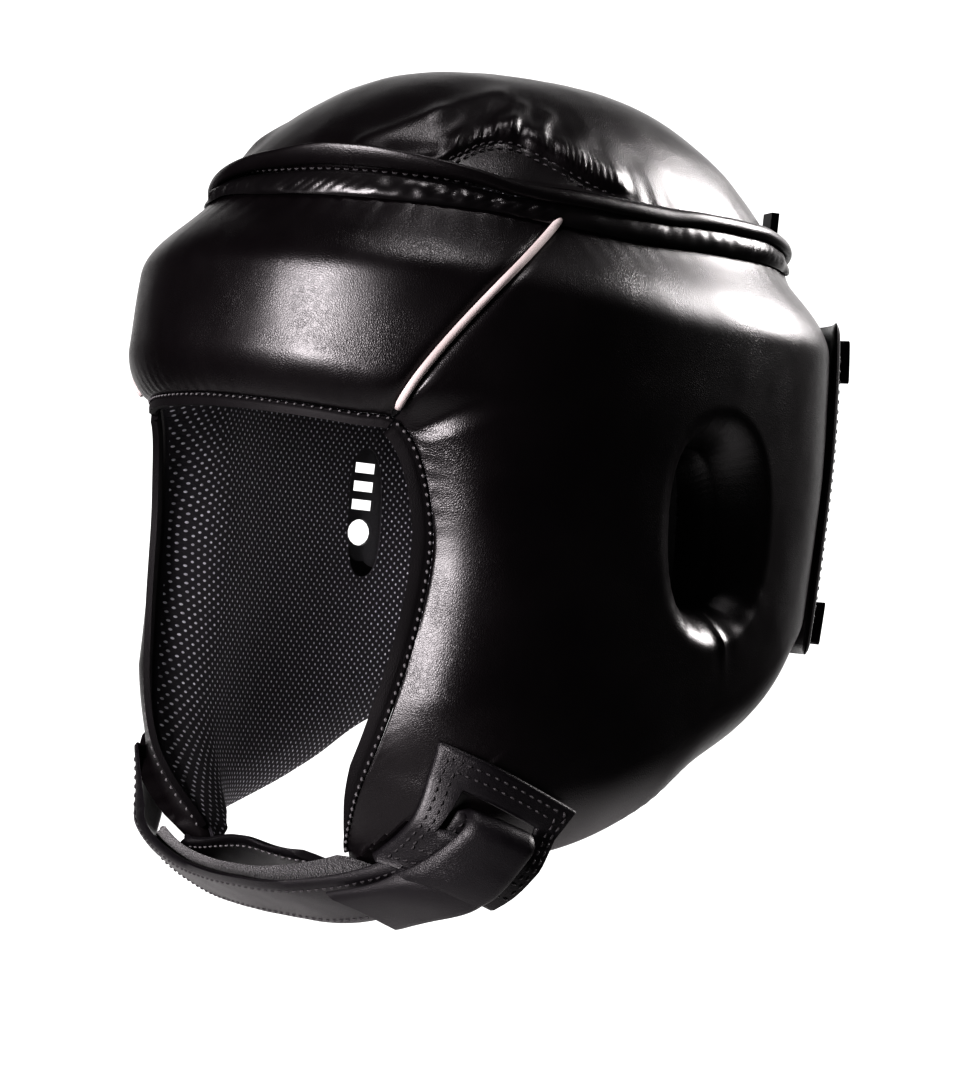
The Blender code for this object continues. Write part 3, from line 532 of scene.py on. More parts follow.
def leather(name, colour, worn, roughness, grain=0.000035, cell=0.0007, shine=0.5):
    """Fine-grained leather: small pebbles, fine creases, faint mottling and a little wear."""
    g = Graph(name)
    spot = g.place()
    warp = g.add("ShaderNodeTexNoise", {"Vector": spot, "Scale": 420.0, "Detail": 2.0}).outputs["Color"]
    bends = {0: warp, 1: (0.0008, 0.0008, 0.0008), 2: spot}
    bent = g.add("ShaderNodeVectorMath", bends, operation="MULTIPLY_ADD").outputs[0]
    pebbles = g.ramp(g.cells(bent, 1 / cell, "DISTANCE_TO_EDGE"), 0.0, 0.30)
    fine = g.noise(spot, 2600.0, 3.0, 0.6)
    broad = g.noise(spot, 38.0, 3.0, 0.55)
    patches = g.ramp(broad, 0.35, 0.68)
    depth = g.ramp(g.noise(spot, 60.0, 2.0), 0.35, 0.65, 0.4, 1.0)
    height = g.times(g.plus(pebbles, g.times(fine, 0.5)), depth)
    rough = g.ramp(broad, 0.3, 0.7, roughness - 0.03, roughness + 0.03)
    g.set(Base_Color=g.mix(patches, colour, worn), Roughness=rough)
    g.set(Normal=g.bump(height, grain), Specular_IOR_Level=shine)
    g.owner.diffuse_color = (*colour, 1.0)
    return g.owner


def dotted_mesh(name):
    """Black mesh lining with small light-grey dots in staggered rows."""
    across, along, radius = 0.0032, 0.0014, 0.00048
    g = Graph(name)
    u, v = g.add("ShaderNodeSeparateXYZ", {0: g.flat()}).outputs[:2]
    row = g.math("FLOOR", g.math("DIVIDE", v, along))
    shifted = g.plus(g.math("DIVIDE", u, across), g.times(g.math("MODULO", row, 2.0), 0.5))
    x = g.times(g.math("SUBTRACT", g.math("FRACT", shifted), 0.5), across)
    y = g.times(g.math("SUBTRACT", g.math("FRACT", g.math("DIVIDE", v, along)), 0.5), along)
    away = g.math("SQRT", g.plus(g.times(x, x), g.times(y, y)))
    dot = g.ramp(away, radius, radius * 0.72)
    fibres = g.noise(g.place(), 2600.0, 2.0)
    tone = g.ramp(g.noise(g.place(), 420.0, 2.0), 0.3, 0.7, 0.55, 1.0)
    grey = g.times(dot, tone)
    knit = g.cells(g.flat(), 1 / 0.0009)
    g.set(Base_Color=g.mix(grey, (0.026, 0.024, 0.030), (0.85, 0.85, 0.92)))
    height = g.plus(g.times(dot, 0.9), g.plus(g.times(knit, 0.8), fibres))
    g.set(Roughness=g.ramp(dot, 0.0, 1.0, 0.85, 0.45), Normal=g.bump(height, 0.0003), Sheen_Weight=0.12)
    return g.owner


def woven(name, dark, light, rib, thread):
    """Ribbed elastic: fine ribs along it, crossed by threads, with painted shade darkening its colour in the
    grooves between them.
    """
    g = Graph(name)
    u, v = g.add("ShaderNodeSeparateXYZ", {0: g.flat()}).outputs[:2]
    ribs = g.math("ABSOLUTE", g.math("SINE", g.times(v, math.pi / rib)))
    shift = g.times(g.math("FLOOR", g.math("DIVIDE", v, rib)), math.pi / 2)
    threads = g.math("ABSOLUTE", g.math("SINE", g.plus(g.times(u, math.pi / thread), shift)))
    height = g.plus(ribs, g.times(threads, 0.7))
    lint = g.noise(g.place(), 1800.0, 2.0)
    # Painted shade: the colour is light on the crowns of ribs and threads and dark in the grooves between
    # them, times the lint's own uneven tone.
    tone = g.times(g.times(ribs, threads), g.ramp(lint, 0.3, 0.7, 0.6, 1.0))
    g.set(Base_Color=g.mix(tone, dark, light), Roughness=g.ramp(lint, 0.0, 1.0, 0.7, 0.9))
    g.set(Normal=g.bump(height, 0.0004), Sheen_Weight=0.2)
    return g.owner


def pile(name):
    """Fuzzy loop tape: short matt loops."""
    g = Graph(name)
    loops = g.cells(g.place(), 1900.0)
    lint = g.noise(g.place(), 700.0, 4.0, 0.7)
    g.set(Base_Color=g.mix(lint, (0.004, 0.004, 0.005), (0.020, 0.019, 0.021)), Roughness=0.95)
    g.set(Normal=g.bump(g.plus(loops, lint), 0.0007), Sheen_Weight=0.35, Sheen_Roughness=0.6)
    return g.owner


def thread(name, colour, roughness):
    """Twisted sewing thread."""
    g = Graph(name)
    waves = {"Vector": g.place(), "Scale": 1100.0, "Distortion": 2.0}
    twist = g.add("ShaderNodeTexWave", waves).outputs["Fac"]
    lint = g.noise(g.place(), 1500.0)
    g.set(Base_Color=g.mix(lint, [c * 0.6 for c in colour], colour), Roughness=roughness)
    g.set(Normal=g.bump(twist, 0.00008))
    return g.owner


def moulded(name):
    """Dark moulded plastic with a fine matt grain."""
    g = Graph(name)
    grain = g.noise(g.place(), 1400.0, 3.0, 0.6)
    g.set(Base_Color=g.mix(grain, (0.050, 0.050, 0.053), (0.10, 0.10, 0.105)))
    g.set(Roughness=g.ramp(grain, 0.3, 0.7, 0.30, 0.45), Normal=g.bump(grain, 0.00005))
    return g.owner


BLACK = leather("black_leather", (0.0032, 0.0020, 0.0027), (0.0046, 0.0032, 0.0040), 0.33)
EDGE_TONES = (0.0036, 0.0026, 0.0034), (0.0056, 0.0044, 0.0054)
MATT_BLACK = leather("edge_leather", *EDGE_TONES, 0.60, 0.00005, shine=0.22)
GLOSSY = leather("glossy_leather", (0.0045, 0.0038, 0.0045), (0.007, 0.006, 0.0065), 0.30, 0.00002)
STRAP_TONES = (0.0036, 0.0026, 0.0040), (0.0058, 0.0046, 0.0062)
SOFT_BLACK = leather("strap_leather", *STRAP_TONES, 0.42, 0.00005, shine=0.40)
WHITE = leather("white_leather", (0.58, 0.52, 0.51), (0.45, 0.39, 0.38), 0.70, 0.00004, 0.0008, 0.25)
MESH = dotted_mesh("dotted_mesh")
# Ribbed elastic: the darker of its two colours is painted shade in the grooves between ribs and threads.
ELASTIC = woven("ribbed_elastic", (0.010, 0.011, 0.016), (0.115, 0.125, 0.165), 0.0011, 0.0016)
LOOPS = pile("loop_pile")
GREY_THREAD = thread("grey_thread", (0.17, 0.165, 0.17), 0.34)
DARK_THREAD = thread("dark_thread", (0.050, 0.047, 0.050), 0.45)
PLASTIC = moulded("ear_plastic")

# Stitches: pitch, length, radius, thread
FACE_STITCH = (0.0029, 0.0014, 0.00050, GREY_THREAD)
BROW_STITCH = (0.0030, 0.0012, 0.00036, GREY_THREAD)
CROWN_STITCH = (0.0030, 0.0020, 0.00034, DARK_THREAD)
EDGE_STITCH = (0.0032, 0.0021, 0.0004, DARK_THREAD)
STRAP_STITCH = (0.0031, 0.0020, 0.0004, DARK_THREAD)
KEEPER_STITCH = (0.0030, 0.0020, 0.0004, DARK_THREAD)
BAND_STITCH = (0.0030, 0.0020, 0.0004, GREY_THREAD)
TAB_STITCH = (0.0028, 0.0018, 0.00035, DARK_THREAD)

# Gathers along the seams: depth, pitch, seed, reach
BROW_GATHERS = (0.00028, 0.0052, 1.0, 0.0035)
BROW_TOP_GATHERS = (0.0005, 0.0046, 5.0, 0.0035)
SIDE_GATHERS = (0.00020, 0.0056, 1.5, 0.0032)
SIDE_TOP_GATHERS = (0.0004, 0.0085, 3.0, 0.0050)
CROWN_FINE_GATHERS = (0.0007, 0.0023, 1.1, 0.0030)
CROWN_GATHERS = (0.0006, 0.0061, 3.1, 0.0080)


def linked(name, data):
    made = bpy.data.objects.new(name, data)
    bpy.context.scene.collection.objects.link(made)
    return made


def finished(shape, name, materials, slot=None, sharp=50):
    """Turn a bmesh into a piece whose faces point out. One with a slot is shown for the node of its name."""
    bmesh.ops.recalc_face_normals(shape, faces=shape.faces)
    label = name + "_dressed" if slot else name
    mesh = bpy.data.meshes.new(label)
    shape.to_mesh(mesh)
    shape.free()
    mesh.shade_smooth()
    mesh.set_sharp_from_angle(angle=math.radians(sharp))
    for material in materials:
        mesh.materials.append(material)
    made = linked(label, mesh)
    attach(made, "root")
    if slot:
        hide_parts(name)
    return made


def skin(shape, layer, grid, flat, ring, index):
    """Faces over a grid of points, with metres along and across the piece as their UV map."""
    verts = [[shape.verts.new(spot) for spot in row] for row in grid]
    rows = len(grid)
    for a in range(rows if ring else rows - 1):
        b = (a + 1) % rows
        for c in range(len(verts[0]) - 1):
            face = shape.faces.new((verts[a][c], verts[b][c], verts[b][c + 1], verts[a][c + 1]))
            face.material_index = index
            for loop, spot in zip(face.loops, (flat[a][c], flat[b][c], flat[b][c + 1], flat[a][c + 1])):
                loop[layer].uv = spot
    return verts


def walled(name, outer, inner, ring, material, slot, flat, flat_in=None, back=None):
    """Closed piece between two grids of points. The inner face may have its own material."""
    shape = bmesh.new()
    layer = shape.loops.layers.uv.new("flat")
    first = skin(shape, layer, outer, flat, ring, 0)
    second = skin(shape, layer, inner, flat if flat_in is None else flat_in, ring, int(back is not None))
    rows = len(outer)
    for a in range(rows if ring else rows - 1):
        b = (a + 1) % rows
        for c in (0, -1):
            shape.faces.new((first[a][c], first[b][c], second[b][c], second[a][c]))
    if not ring:
        for a in (0, -1):
            shape.faces.new(first[a] + second[a][::-1])
    return finished(shape, name, [material] if back is None else [material, back], slot)


def slab(name, middle, normal, half, material, slot, flat, ring=False):
    """Flat piece that reaches half its thickness out to each side of its middle. Returns its outer face."""
    reach = normal * half[..., None]
    walled(name, middle + reach, middle - reach, ring, material, slot, flat)
    return middle + reach


def rounded(across, half, edge):
    """Half thickness at shares 0 to 1 across a strip, whose edges are rounded over a share of it."""
    near = np.minimum(across, 1 - across) / edge
    return half * np.sqrt(np.clip(1 - (1 - unit(near)) ** 2.2, 0.06, 1))


def normals_of(grid):
    """Unit normals of a grid of points."""
    a = np.gradient(grid, axis=0)
    b = np.gradient(grid, axis=1)
    n = np.cross(a, b)
    return n / np.maximum(np.linalg.norm(n, axis=-1, keepdims=True), 1e-12)


def ring_normals(grid):
    """Unit normals of a grid whose rows go once round."""
    return normals_of(np.concatenate([grid[-1:], grid, grid[:1]]))[1:-1]


def rough_at(points, size, seed=0.0):
    """Smooth noise from -1 to 1 at points, with blobs of about the given size."""
    flat = np.asarray(points, float).reshape(-1, 3) / size + (seed, seed * 1.7, -seed)
    return np.array([noise.noise(Vector(spot)) for spot in flat]).reshape(np.shape(points)[:-1])


STITCH_SIDES = 6
STITCH_RISE = 0.35
STITCH_DIP = 1.3

# Rings of a stitch: place as a share of its length from the middle, radius as a share of the thread's
STITCH_RINGS = ((-0.5, 0.25), (-0.40, 0.75), (-0.2, 1.0), (0.2, 1.0), (0.40, 0.75), (0.5, 0.25))


def sleeve(shape, rings):
    """Closed faces over rings of points."""
    rings = [[shape.verts.new(spot) for spot in ring] for ring in rings]
    for a, b in zip(rings, rings[1:]):
        for i in range(len(a)):
            j = (i + 1) % len(a)
            shape.faces.new((a[i], a[j], b[j], b[i]))
    for end in (rings[0], rings[-1]):
        shape.faces.new(end)


def closed(line):
    return np.concatenate([line, line[:1]])


def stitches(name, line, normals, kind, slant=0.0):
    """Row of stitches along a line of points on a surface, each a short thread that dips in at its ends."""
    pitch, length, radius, material = kind
    both = np.concatenate([line, normals], axis=1)
    run = run_of(line)
    count = max(int(run[-1] / pitch), 1)
    at = (np.arange(count) + 0.5) * run[-1] / count
    spots = np.stack([np.interp(at, run, column) for column in both.T], axis=1)
    shape = bmesh.new()
    turns = np.linspace(0, 2 * math.pi, STITCH_SIDES, endpoint=False)
    for k, row in enumerate(spots):
        spot, up = row[:3], row[3:] / np.linalg.norm(row[3:])
        way = spots[k + 1, :3] - spot if k + 1 < count else spot - spots[k - 1, :3]
        way = way - up * (way @ up)
        way = way / np.linalg.norm(way)
        side = np.cross(up, way)
        ahead = way * math.cos(slant) + side * math.sin(slant)
        side = side * math.cos(slant) - way * math.sin(slant)
        rings = []
        for share, size in STITCH_RINGS:
            height = radius * (STITCH_RISE - STITCH_DIP * (2 * abs(share)) ** 3)
            centre = spot + ahead * share * length + up * height
            rings.append([centre + (side * math.cos(t) + up * math.sin(t)) * radius * size for t in turns])
        sleeve(shape, rings)
    finished(shape, name, [material], sharp=80)


def spread(count, crowd=0.55):
    """Shares from 0 to 1 that crowd towards both ends."""
    even_share = np.linspace(0, 1, count)
    return (1 - crowd) * even_share + crowd * (0.5 - 0.5 * np.cos(math.pi * even_share))


def ridges(run, pitch, seed):
    """Uneven gathers along a seam, from 0 to 1."""
    run = np.asarray(run, float)
    wander = 1.3 * np.sin(run / (pitch * 3.1) + seed) + 0.9 * np.sin(run / (pitch * 1.7) + 2.1 * seed)
    weight = 0.62 + 0.38 * np.sin(run / (pitch * 2.3) + 3.3 * seed)
    return weight * (0.5 + 0.5 * np.sin(2 * math.pi * run / pitch + wander))


def gathers(run, away, depth, pitch, seed, reach):
    """Gathers along a seam that fade out with the distance from it."""
    return depth * ridges(run, pitch, seed) * np.exp(-away / reach)


def pushed(grid, amount):
    """Grid of points moved out along its own normals."""
    return grid + normals_of(grid) * amount[..., None]


def pad_face(arc, z, side, which):
    """Points on the outer (0) or inner (1) face of the pads."""
    return on_hollow(arc, z, pad_surfaces(arc, z, side)[which], side)


def forehead():
    across = np.linspace(-1, 1, 181)
    at = np.linspace(0, 1, len(PIPING[1]))

    def spots(up):
        """Grid of places at shares of the way up from the brow to the top seam."""
        halves = {s: np.stack([np.interp(up, at, PIPING[s][:, c]) for c in (0, 1)]) for s in (-1, 1)}
        seam_z = np.where(across[:, None] > 0, halves[1][1], halves[-1][1])
        arc = across[:, None] * (halves[1][0] - PIPING_RADIUS * PIPING_SEAT)
        brow_shift = np.interp(np.abs(arc[:, 0]), *EDGE[: FOOT + 1, :2].T) - seam_z[:, 0]
        top_shift = top_edge(arc[:, -1] / MIDDLE_RADIUS) - seam_z[:, -1]
        return arc, seam_z + brow_shift[:, None] * (1 - up) ** 2 + top_shift[:, None] * up**2

    arc, z = spots(spread(64))
    arc_in, z_in = spots(np.linspace(0, 1, 12))
    outer, inner = pad_face(arc, z, 1, 0), pad_face(arc_in, z_in, 1, 1)
    low = z - z[:, :1]
    under = z[:, -1:] - z
    amount = 0.0004 * rough_at(outer, 0.036, 1.0) + 0.00009 * rough_at(outer, 0.012, 4.0)
    amount -= gathers(arc, low, *BROW_GATHERS)
    amount += 0.0004 * ridges(arc, 0.0083, 2.0) * bell(under - 0.005, 0.004)
    amount -= gathers(arc, under, *BROW_TOP_GATHERS)
    amount *= unit(np.minimum(low, under) / EDGE_STILL)
    flat, flat_in = np.stack([arc, z], axis=-1), np.stack([arc_in, z_in], axis=-1)
    made = walled("forehead_pad", pushed(outer, amount), inner, False, BLACK, "leather", flat, flat_in, MESH)


def side_outline(side):
    """Places round the edge of a side panel: piping seam, top seam, back edge, hem and face opening."""
    seam = PIPING[side] + (PIPING_RADIUS * PIPING_SEAT, 0)
    top_arc = np.linspace(seam[-1, 0], EDGE[-1, 0], 70)
    top = np.stack([top_arc, top_edge(side * top_arc / MIDDLE_RADIUS)], axis=1)
    lower = EDGE[FOOT:, :2][::-1]
    return np.vstack([seam[1:-1], top, lower[1:]])


def rays(shares, side, wider, higher):
    """Grid of places from a side panel's edge (share 0) in to the ear opening (share 1)."""
    edge = side_outline(side)
    away = edge - EAR_CENTRE
    ear = EAR_CENTRE + ear_outline(np.arctan2(away[:, 1], away[:, 0]), wider, higher)
    return edge[:, None, :] + shares[None, :, None] * (ear - edge)[:, None, :]


def side_pad(side, word):
    spots = rays(spread(76, 0.75), side, EAR_BACK_WIDER, EAR_FOOT_HIGHER)
    arc, z = spots[..., 0], spots[..., 1]
    outer = pad_face(arc, z, side, 0)
    run = run_of(spots[:, 0])[:, None]
    low = nearest(EDGE, arc, z)[0]
    under = np.maximum(top_edge(side * arc / MIDDLE_RADIUS) - z, 0)
    ear = nearest(EAR_RING, arc, z)[0]
    away = spots - EAR_CENTRE
    turn = np.arctan2(away[..., 1], away[..., 0])
    below = unit(-np.sin(turn)) ** 2
    amount = 0.0005 * rough_at(outer, 0.038, 2.0 + side) + 0.00010 * rough_at(outer, 0.013, 5.0 + side)
    amount -= gathers(run, low, *SIDE_GATHERS) + gathers(run, under, *SIDE_TOP_GATHERS)
    amount += 0.0005 * below * (ridges(turn * 0.022, 0.0058, 2.5) - 0.4) * bell(ear - 0.006, 0.006)
    crease = arc - EAR_CENTRE[0] - 0.0075 - 0.0014 * np.sin((z + 0.140) / 0.006)
    beside = bell(z + 0.1510, 0.0085)
    amount -= 0.0007 * bell(crease, 0.0009) * beside
    amount += 0.0004 * bell(np.abs(crease) - 0.003, 0.0022) * beside
    amount *= unit(np.minimum(low, under) / EDGE_STILL)
    outer = pushed(outer, amount)
    ring_in = pad_surfaces(arc[:, -1], z[:, -1], side)[1]
    ring_out = np.linalg.norm(outer[:, -1, :2], axis=1)
    wall = []
    for share in (0.10, 0.25, 0.45, 0.7, 0.95):
        lip = EAR_CENTRE + (spots[:, -1] - EAR_CENTRE) * (1 - EAR_NARROWER * share**0.8)
        wall.append(on_hollow(lip[:, 0], lip[:, 1], ring_out + (ring_in - ring_out) * share, side))
    outer = np.concatenate([outer, np.stack(wall, axis=1)], axis=1)
    flat = np.concatenate([spots, np.repeat(spots[:, -1:], len(wall), axis=1)], axis=1)
    backs = rays(np.linspace(0, 1, 10), side, EAR_BACK_WIDER, EAR_FOOT_HIGHER)
    inner = pad_face(backs[..., 0], backs[..., 1], side, 1)
    made = walled(f"side_pad_{word}", outer, inner, True, BLACK, "leather", flat, backs)


def side_lining(side, word):
    spots = rays(np.array([0, 0.06, 0.12, 0.2, 0.3, 0.42, 0.56, 0.7, 0.85, 1.0]), side, 0.0, 0.0)
    lip = EAR_CENTRE + (spots[:, -1:] - EAR_CENTRE) * (1 - LINING_LIP / EAR_OPENING_WIDTH)
    spots = np.concatenate([spots, lip], axis=1)
    arc, z = spots[..., 0], spots[..., 1]
    outer = pad_surfaces(arc, z, side)[1] - GAP
    front = on_hollow(arc, z, outer, side)
    soft = 0.0002 * rough_at(front, 0.014, 7.0)
    back = on_hollow(arc, z, outer - LINING_THICKNESS + soft, side)
    walled(f"side_lining_{word}", front, back, True, MESH, "dotted_mesh", spots)


def edge_ribbon(first, last, width, taper, columns):
    """Places across a flat ribbon outside a stretch of the free edge, and the lift of the seam along it."""
    line = EDGE[first : last + 1].copy()
    along = EDGE_ALONG[first : last + 1]
    out = np.stack([along[:, 1], -along[:, 0]], axis=1)
    line[0, :2] += along[0] * GAP
    line[-1, :2] -= along[-1] * GAP
    left = (len(line) - np.arange(len(line))) * 3 / EDGE_STEPS
    widths = width * np.clip(left / 5, 0.3, 1) if taper else width + np.zeros(len(line))
    away = np.linspace(0, 1, columns)[None, :] * (widths - GAP)[:, None] + GAP
    return line[:, None, :2] + away[..., None] * out[:, None, :], line[:, None, 2]


def ribbon(name, spots, lift, side, seed):
    """Flat edge strip with a stitched furrow and faint gathers. Returns the seam and its normals."""
    arc, z = spots[..., 0], spots[..., 1]
    run = run_of(spots[:, 0])[:, None]
    share = np.linspace(0, 1, spots.shape[1])[None, :]
    lining = hollow_radius(np.abs(arc) / MIDDLE_RADIUS, z) + LINING_THICKNESS + GAP
    middle = on_hollow(arc, z, lining + lift, side)
    normal = normals_of(middle)
    normal *= np.sign((normal * middle).sum(-1).mean())
    gathered = 0.18 * (ridges(run, 0.0032, seed) - 0.5) * (1 - share)
    half = PAD_RIM / 2 * (1 - 0.30 * bell(share - 0.22, 0.10) + gathered)
    half = half * (0.45 + 0.55 * unit(share / 0.12)) * (1 - 0.35 * unit(share - 0.6))
    flat = np.stack([run + 0 * share, share * BINDING_WIDTH + 0 * run], -1)
    face = slab(name, middle, normal, half, MATT_BLACK, "leather", flat)
    return face[:, 1] + normal[:, 1] * THREAD_LIFT, normal[:, 1]


def face_binding(side, word):
    spots, lift = edge_ribbon(FOOT, CORNER, BINDING_WIDTH, True, 9)
    seam, up = ribbon(f"face_binding_{word}", spots, lift, side, 0.7)
    stitches(f"face_stitches_{word}", seam, up, FACE_STITCH, 0.45 * side)


def brow_binding():
    half, lift = edge_ribbon(EDGE_STEPS, FOOT, BROW_BINDING_WIDTH, False, 9)
    half[0, :, 0] = 0
    other = half[:0:-1] * (-1, 1)
    lifts = np.concatenate([lift[:0:-1], lift])
    seam, up = ribbon("brow_binding", np.concatenate([other, half]), lifts, 1, 1.9)
    stitches("brow_stitches", seam, up, BROW_STITCH, 0.4)


def piping(side, word):
    """White cord in the seam between brow and side panel, with rounded ends."""
    arc, z = PIPING[side][2:].T
    line = on_hollow(arc, z, pad_surfaces(arc, z, side)[0] + PIPING_RADIUS + GAP, side)
    way = np.gradient(line, axis=0)
    way = way / np.linalg.norm(way, axis=1)[:, None]
    across = np.cross(way, (0.0, 0.0, 1.0))
    across = across / np.linalg.norm(across, axis=1)[:, None]
    up = np.cross(across, way)
    turns = np.linspace(0, 2 * math.pi, 16, endpoint=False)[:, None]
    ends = unit(np.abs(np.linspace(-20, 20, len(line))) - 19)
    size = PIPING_RADIUS * (1 - 0.3 * ends**2)
    round_it = across[:, None] * np.cos(turns) + up[:, None] * np.sin(turns)
    shape = bmesh.new()
    sleeve(shape, line[:, None] + size[:, None, None] * round_it)
    finished(shape, f"piping_{word}", [WHITE], "white_piping", 80)


# Gathered seam across each side of the crown: angle in degrees, share of the way out from top to foot
CROWN_SEAM = (
    (30.0, 0.975),
    (36.0, 0.950),
    (39.5, 0.915),
    (44.0, 0.868),
    (52.0, 0.845),
    (59.5, 0.880),
    (67.0, 0.920),
    (74.0, 0.955),
    (80.5, 0.975),
    (90.0, 0.995),
)

# Folds of the crown: from and to as angle in degrees and share of the way out, height and half width in mm
CROWN_FOLDS = (
    (19.0, 0.930, 32.0, 0.790, 2.0, 3.6),
    (32.0, 0.790, 46.0, 0.620, 1.5, 5.0),
    (26.0, 0.945, 37.0, 0.920, -1.6, 1.9),
    (51.0, 0.815, 54.0, 0.690, 1.7, 3.6),
    (58.0, 0.845, 63.0, 0.720, 1.2, 3.0),
    (66.0, 0.890, 76.0, 0.760, 0.7, 4.5),
    (43.0, 0.840, 47.0, 0.700, -0.9, 3.0),
    (-28.0, 0.900, -44.0, 0.740, 1.3, 4.5),
    (-55.0, 0.850, -60.0, 0.700, 1.0, 4.5),
)
SEAM_START, SEAM_END = 33.0, 86.0
CROWN_RUN = 0.072


def fold_at(angle, out):
    """Height of the crown's folds at angles in radians and shares of the way out."""
    height = 0 * angle + 0 * out
    for first, first_out, last, last_out, up, wide in CROWN_FOLDS:
        x0, y0 = math.radians(first) * CROWN_RUN, first_out * CROWN_HALF_BREADTH
        dx = math.radians(last) * CROWN_RUN - x0
        dy = last_out * CROWN_HALF_BREADTH - y0
        x = angle * CROWN_RUN - x0
        y = out * CROWN_HALF_BREADTH - y0
        share = unit((x * dx + y * dy) / (dx * dx + dy * dy))
        away = np.hypot(x - share * dx, y - share * dy)
        height = height + up * 0.001 * bell(away, wide * 0.001) * (1 - 0.5 * share)
    return height


def crown():
    fine = np.arange(28.0, 92.0, 0.42)
    coarse = np.concatenate([np.arange(92.0, 268.0, 2.2), np.arange(-28.0, 28.0, 1.6)])
    angles = np.radians(np.sort(np.concatenate([fine, -fine, (coarse + 180) % 360 - 180])))
    out = np.concatenate([np.linspace(0.03, 0.6, 18, endpoint=False), np.linspace(0.6, 1.0, 66)])
    angle = angles[:, None] + 0 * out[None, :]
    radius = crown_radius(angle)
    slope = CROWN_THICKNESS + CROWN_DROP
    outer = polar(angle, radius * out, CROWN_THICKNESS - slope * out[None, :] ** CROWN_FULLNESS + 0 * angle)
    degrees = np.abs(np.degrees(angle))
    seam = hermite(CROWN_SEAM, degrees, 1)
    ends = smooth(np.minimum(degrees - SEAM_START, SEAM_END - degrees) / 7)
    steep = np.hypot(radius, slope * CROWN_FULLNESS * out ** (CROWN_FULLNESS - 1))
    above = (seam - out) * steep
    run = angle * CROWN_RUN
    over = unit(above / 0.0010)
    band = unit(-above / 0.0014)
    amount = 0.0006 * rough_at(outer, 0.032, 9.0) + 0.00022 * rough_at(outer, 0.011, 3.0)
    amount -= 0.0018 * ends * band * unit((1 - out) / 0.02)
    amount += 0.0014 * ends * over * bell(above - 0.0050, 0.0055)
    amount -= ends * over * gathers(run, above, *CROWN_FINE_GATHERS)
    amount -= ends * over * gathers(run, above, *CROWN_GATHERS)
    amount -= 0.0004 * (1 - ends) * ridges(run, 0.0085, 2.2) * unit((out - 0.86) / 0.14) ** 2
    amount += fold_at(angle, out) * unit((1 - out) / 0.04)
    outer = pushed_up(outer, amount)
    below = -CROWN_DROP * out**CROWN_FULLNESS
    inner = polar(angle, (radius - CROWN_RIM) * out, below[None, :] + 0 * angle)
    dome("crown_pad", outer, inner, amount[0, 0])
    for side, word in ((1, "left"), (-1, "right")):
        for k, lower in enumerate((0.0016, 0.0040)):
            degrees = np.linspace(SEAM_START + 5, SEAM_END - 6, 120)
            turn = np.radians(degrees) * side
            wide = crown_radius(turn)
            share = hermite(CROWN_SEAM, degrees, 1)
            share = np.minimum(share + lower / np.hypot(wide, slope * 2.0), 0.995)
            high = CROWN_THICKNESS - slope * share**CROWN_FULLNESS
            line = polar(turn, wide * share, high)
            up = np.stack([np.sin(turn) * 0.8, -np.cos(turn) * 0.8, 0.6 + 0 * turn], axis=1)
            name = f"crown_stitches_{word}_{k}"
            stitches(name, line - up * 0.0013, up, CROWN_STITCH)


def pushed_up(grid, amount):
    """Crown points moved out from the dome's middle, a ring of which closes on itself."""
    n = ring_normals(grid)
    n *= np.sign(n[..., 2].mean())
    return grid + n * amount[..., None]


def dome(name, outer, inner, lift):
    rows = len(outer)
    shape = bmesh.new()
    layer = shape.loops.layers.uv.new("flat")
    first = skin(shape, layer, outer, outer[..., :2], True, 0)
    second = skin(shape, layer, inner, inner[..., :2], True, 1)
    for a in range(rows):
        b = (a + 1) % rows
        shape.faces.new((first[a][-1], first[b][-1], second[b][-1], second[a][-1]))
    for verts, height, index in ((first, CROWN_THICKNESS + lift, 0), (second, 0.0, 1)):
        top = shape.verts.new((0, 0, height))
        for a in range(rows):
            face = shape.faces.new((top, verts[a][0], verts[(a + 1) % rows][0]))
            face.material_index = index
    return finished(shape, name, [BLACK, MESH], "leather")


COLLAR_RUN = 0.085
COLLAR_TURN_UP = 0.0032
BAND_OVERLAP = 0.0022
BAND_THIN = 0.0011
FLANGE_TUCK = 0.0025
BAND_PUFF = 0.0022


def turned_up(angle):
    """Extra height of the collar's rim where it stands up beside the crown, behind each piping."""
    degrees = np.abs(np.degrees(angle))
    return COLLAR_TURN_UP * unit((degrees - 52) / 22) * unit((158 - degrees) / 30)


def collar():
    """Leather flange with a rolled rim round the foot of the crown, stitched on both faces."""
    angles = np.linspace(-math.pi, math.pi, 360, endpoint=False)
    share = np.array([0, 0.2, 0.4, 0.52, 0.58, 0.63, 0.68, 0.74, 0.80, 0.86, 0.92, 0.96, 0.985, 1.0])
    angle = angles[:, None] + 0 * share[None, :]
    start = crown_radius(angle) - FLANGE_TUCK
    radius = start + (collar_radius(angle) - start) * share
    run = angle * COLLAR_RUN
    soft = 0.0005 * rough_at(polar(angle, radius, 0 * angle), 0.016, 6.0)
    high = collar_height(angle, radius) + (soft + turned_up(angle)) * share**1.4
    bead = np.sqrt(np.clip(1 - ((share - 0.81) / 0.19) ** 2, 0.02, 1)) * 1.32
    flat = 0.60 - 0.18 * bell(share - 0.40, 0.09)
    profile = np.where(share < 0.66, flat, bead)
    profile = profile * (1 + 0.16 * (ridges(run, 0.0055, 4.0) - 0.5) * unit(0.9 - share))
    half = COLLAR_THICKNESS / 2 * profile
    middle = polar(angle, radius, high)
    up = np.zeros_like(middle) + (0, 0, 1)
    slab("crown_collar", middle, up, half, BLACK, "leather", np.stack([run, radius], -1), True)
    for word, way in (("top", 1), ("under", -1)):
        line = closed((middle + up * half[..., None] * way)[:, 3])
        normal = np.zeros_like(line) + (0, 0, way)
        stitches(f"collar_stitches_{word}", line, normal, EDGE_STITCH)


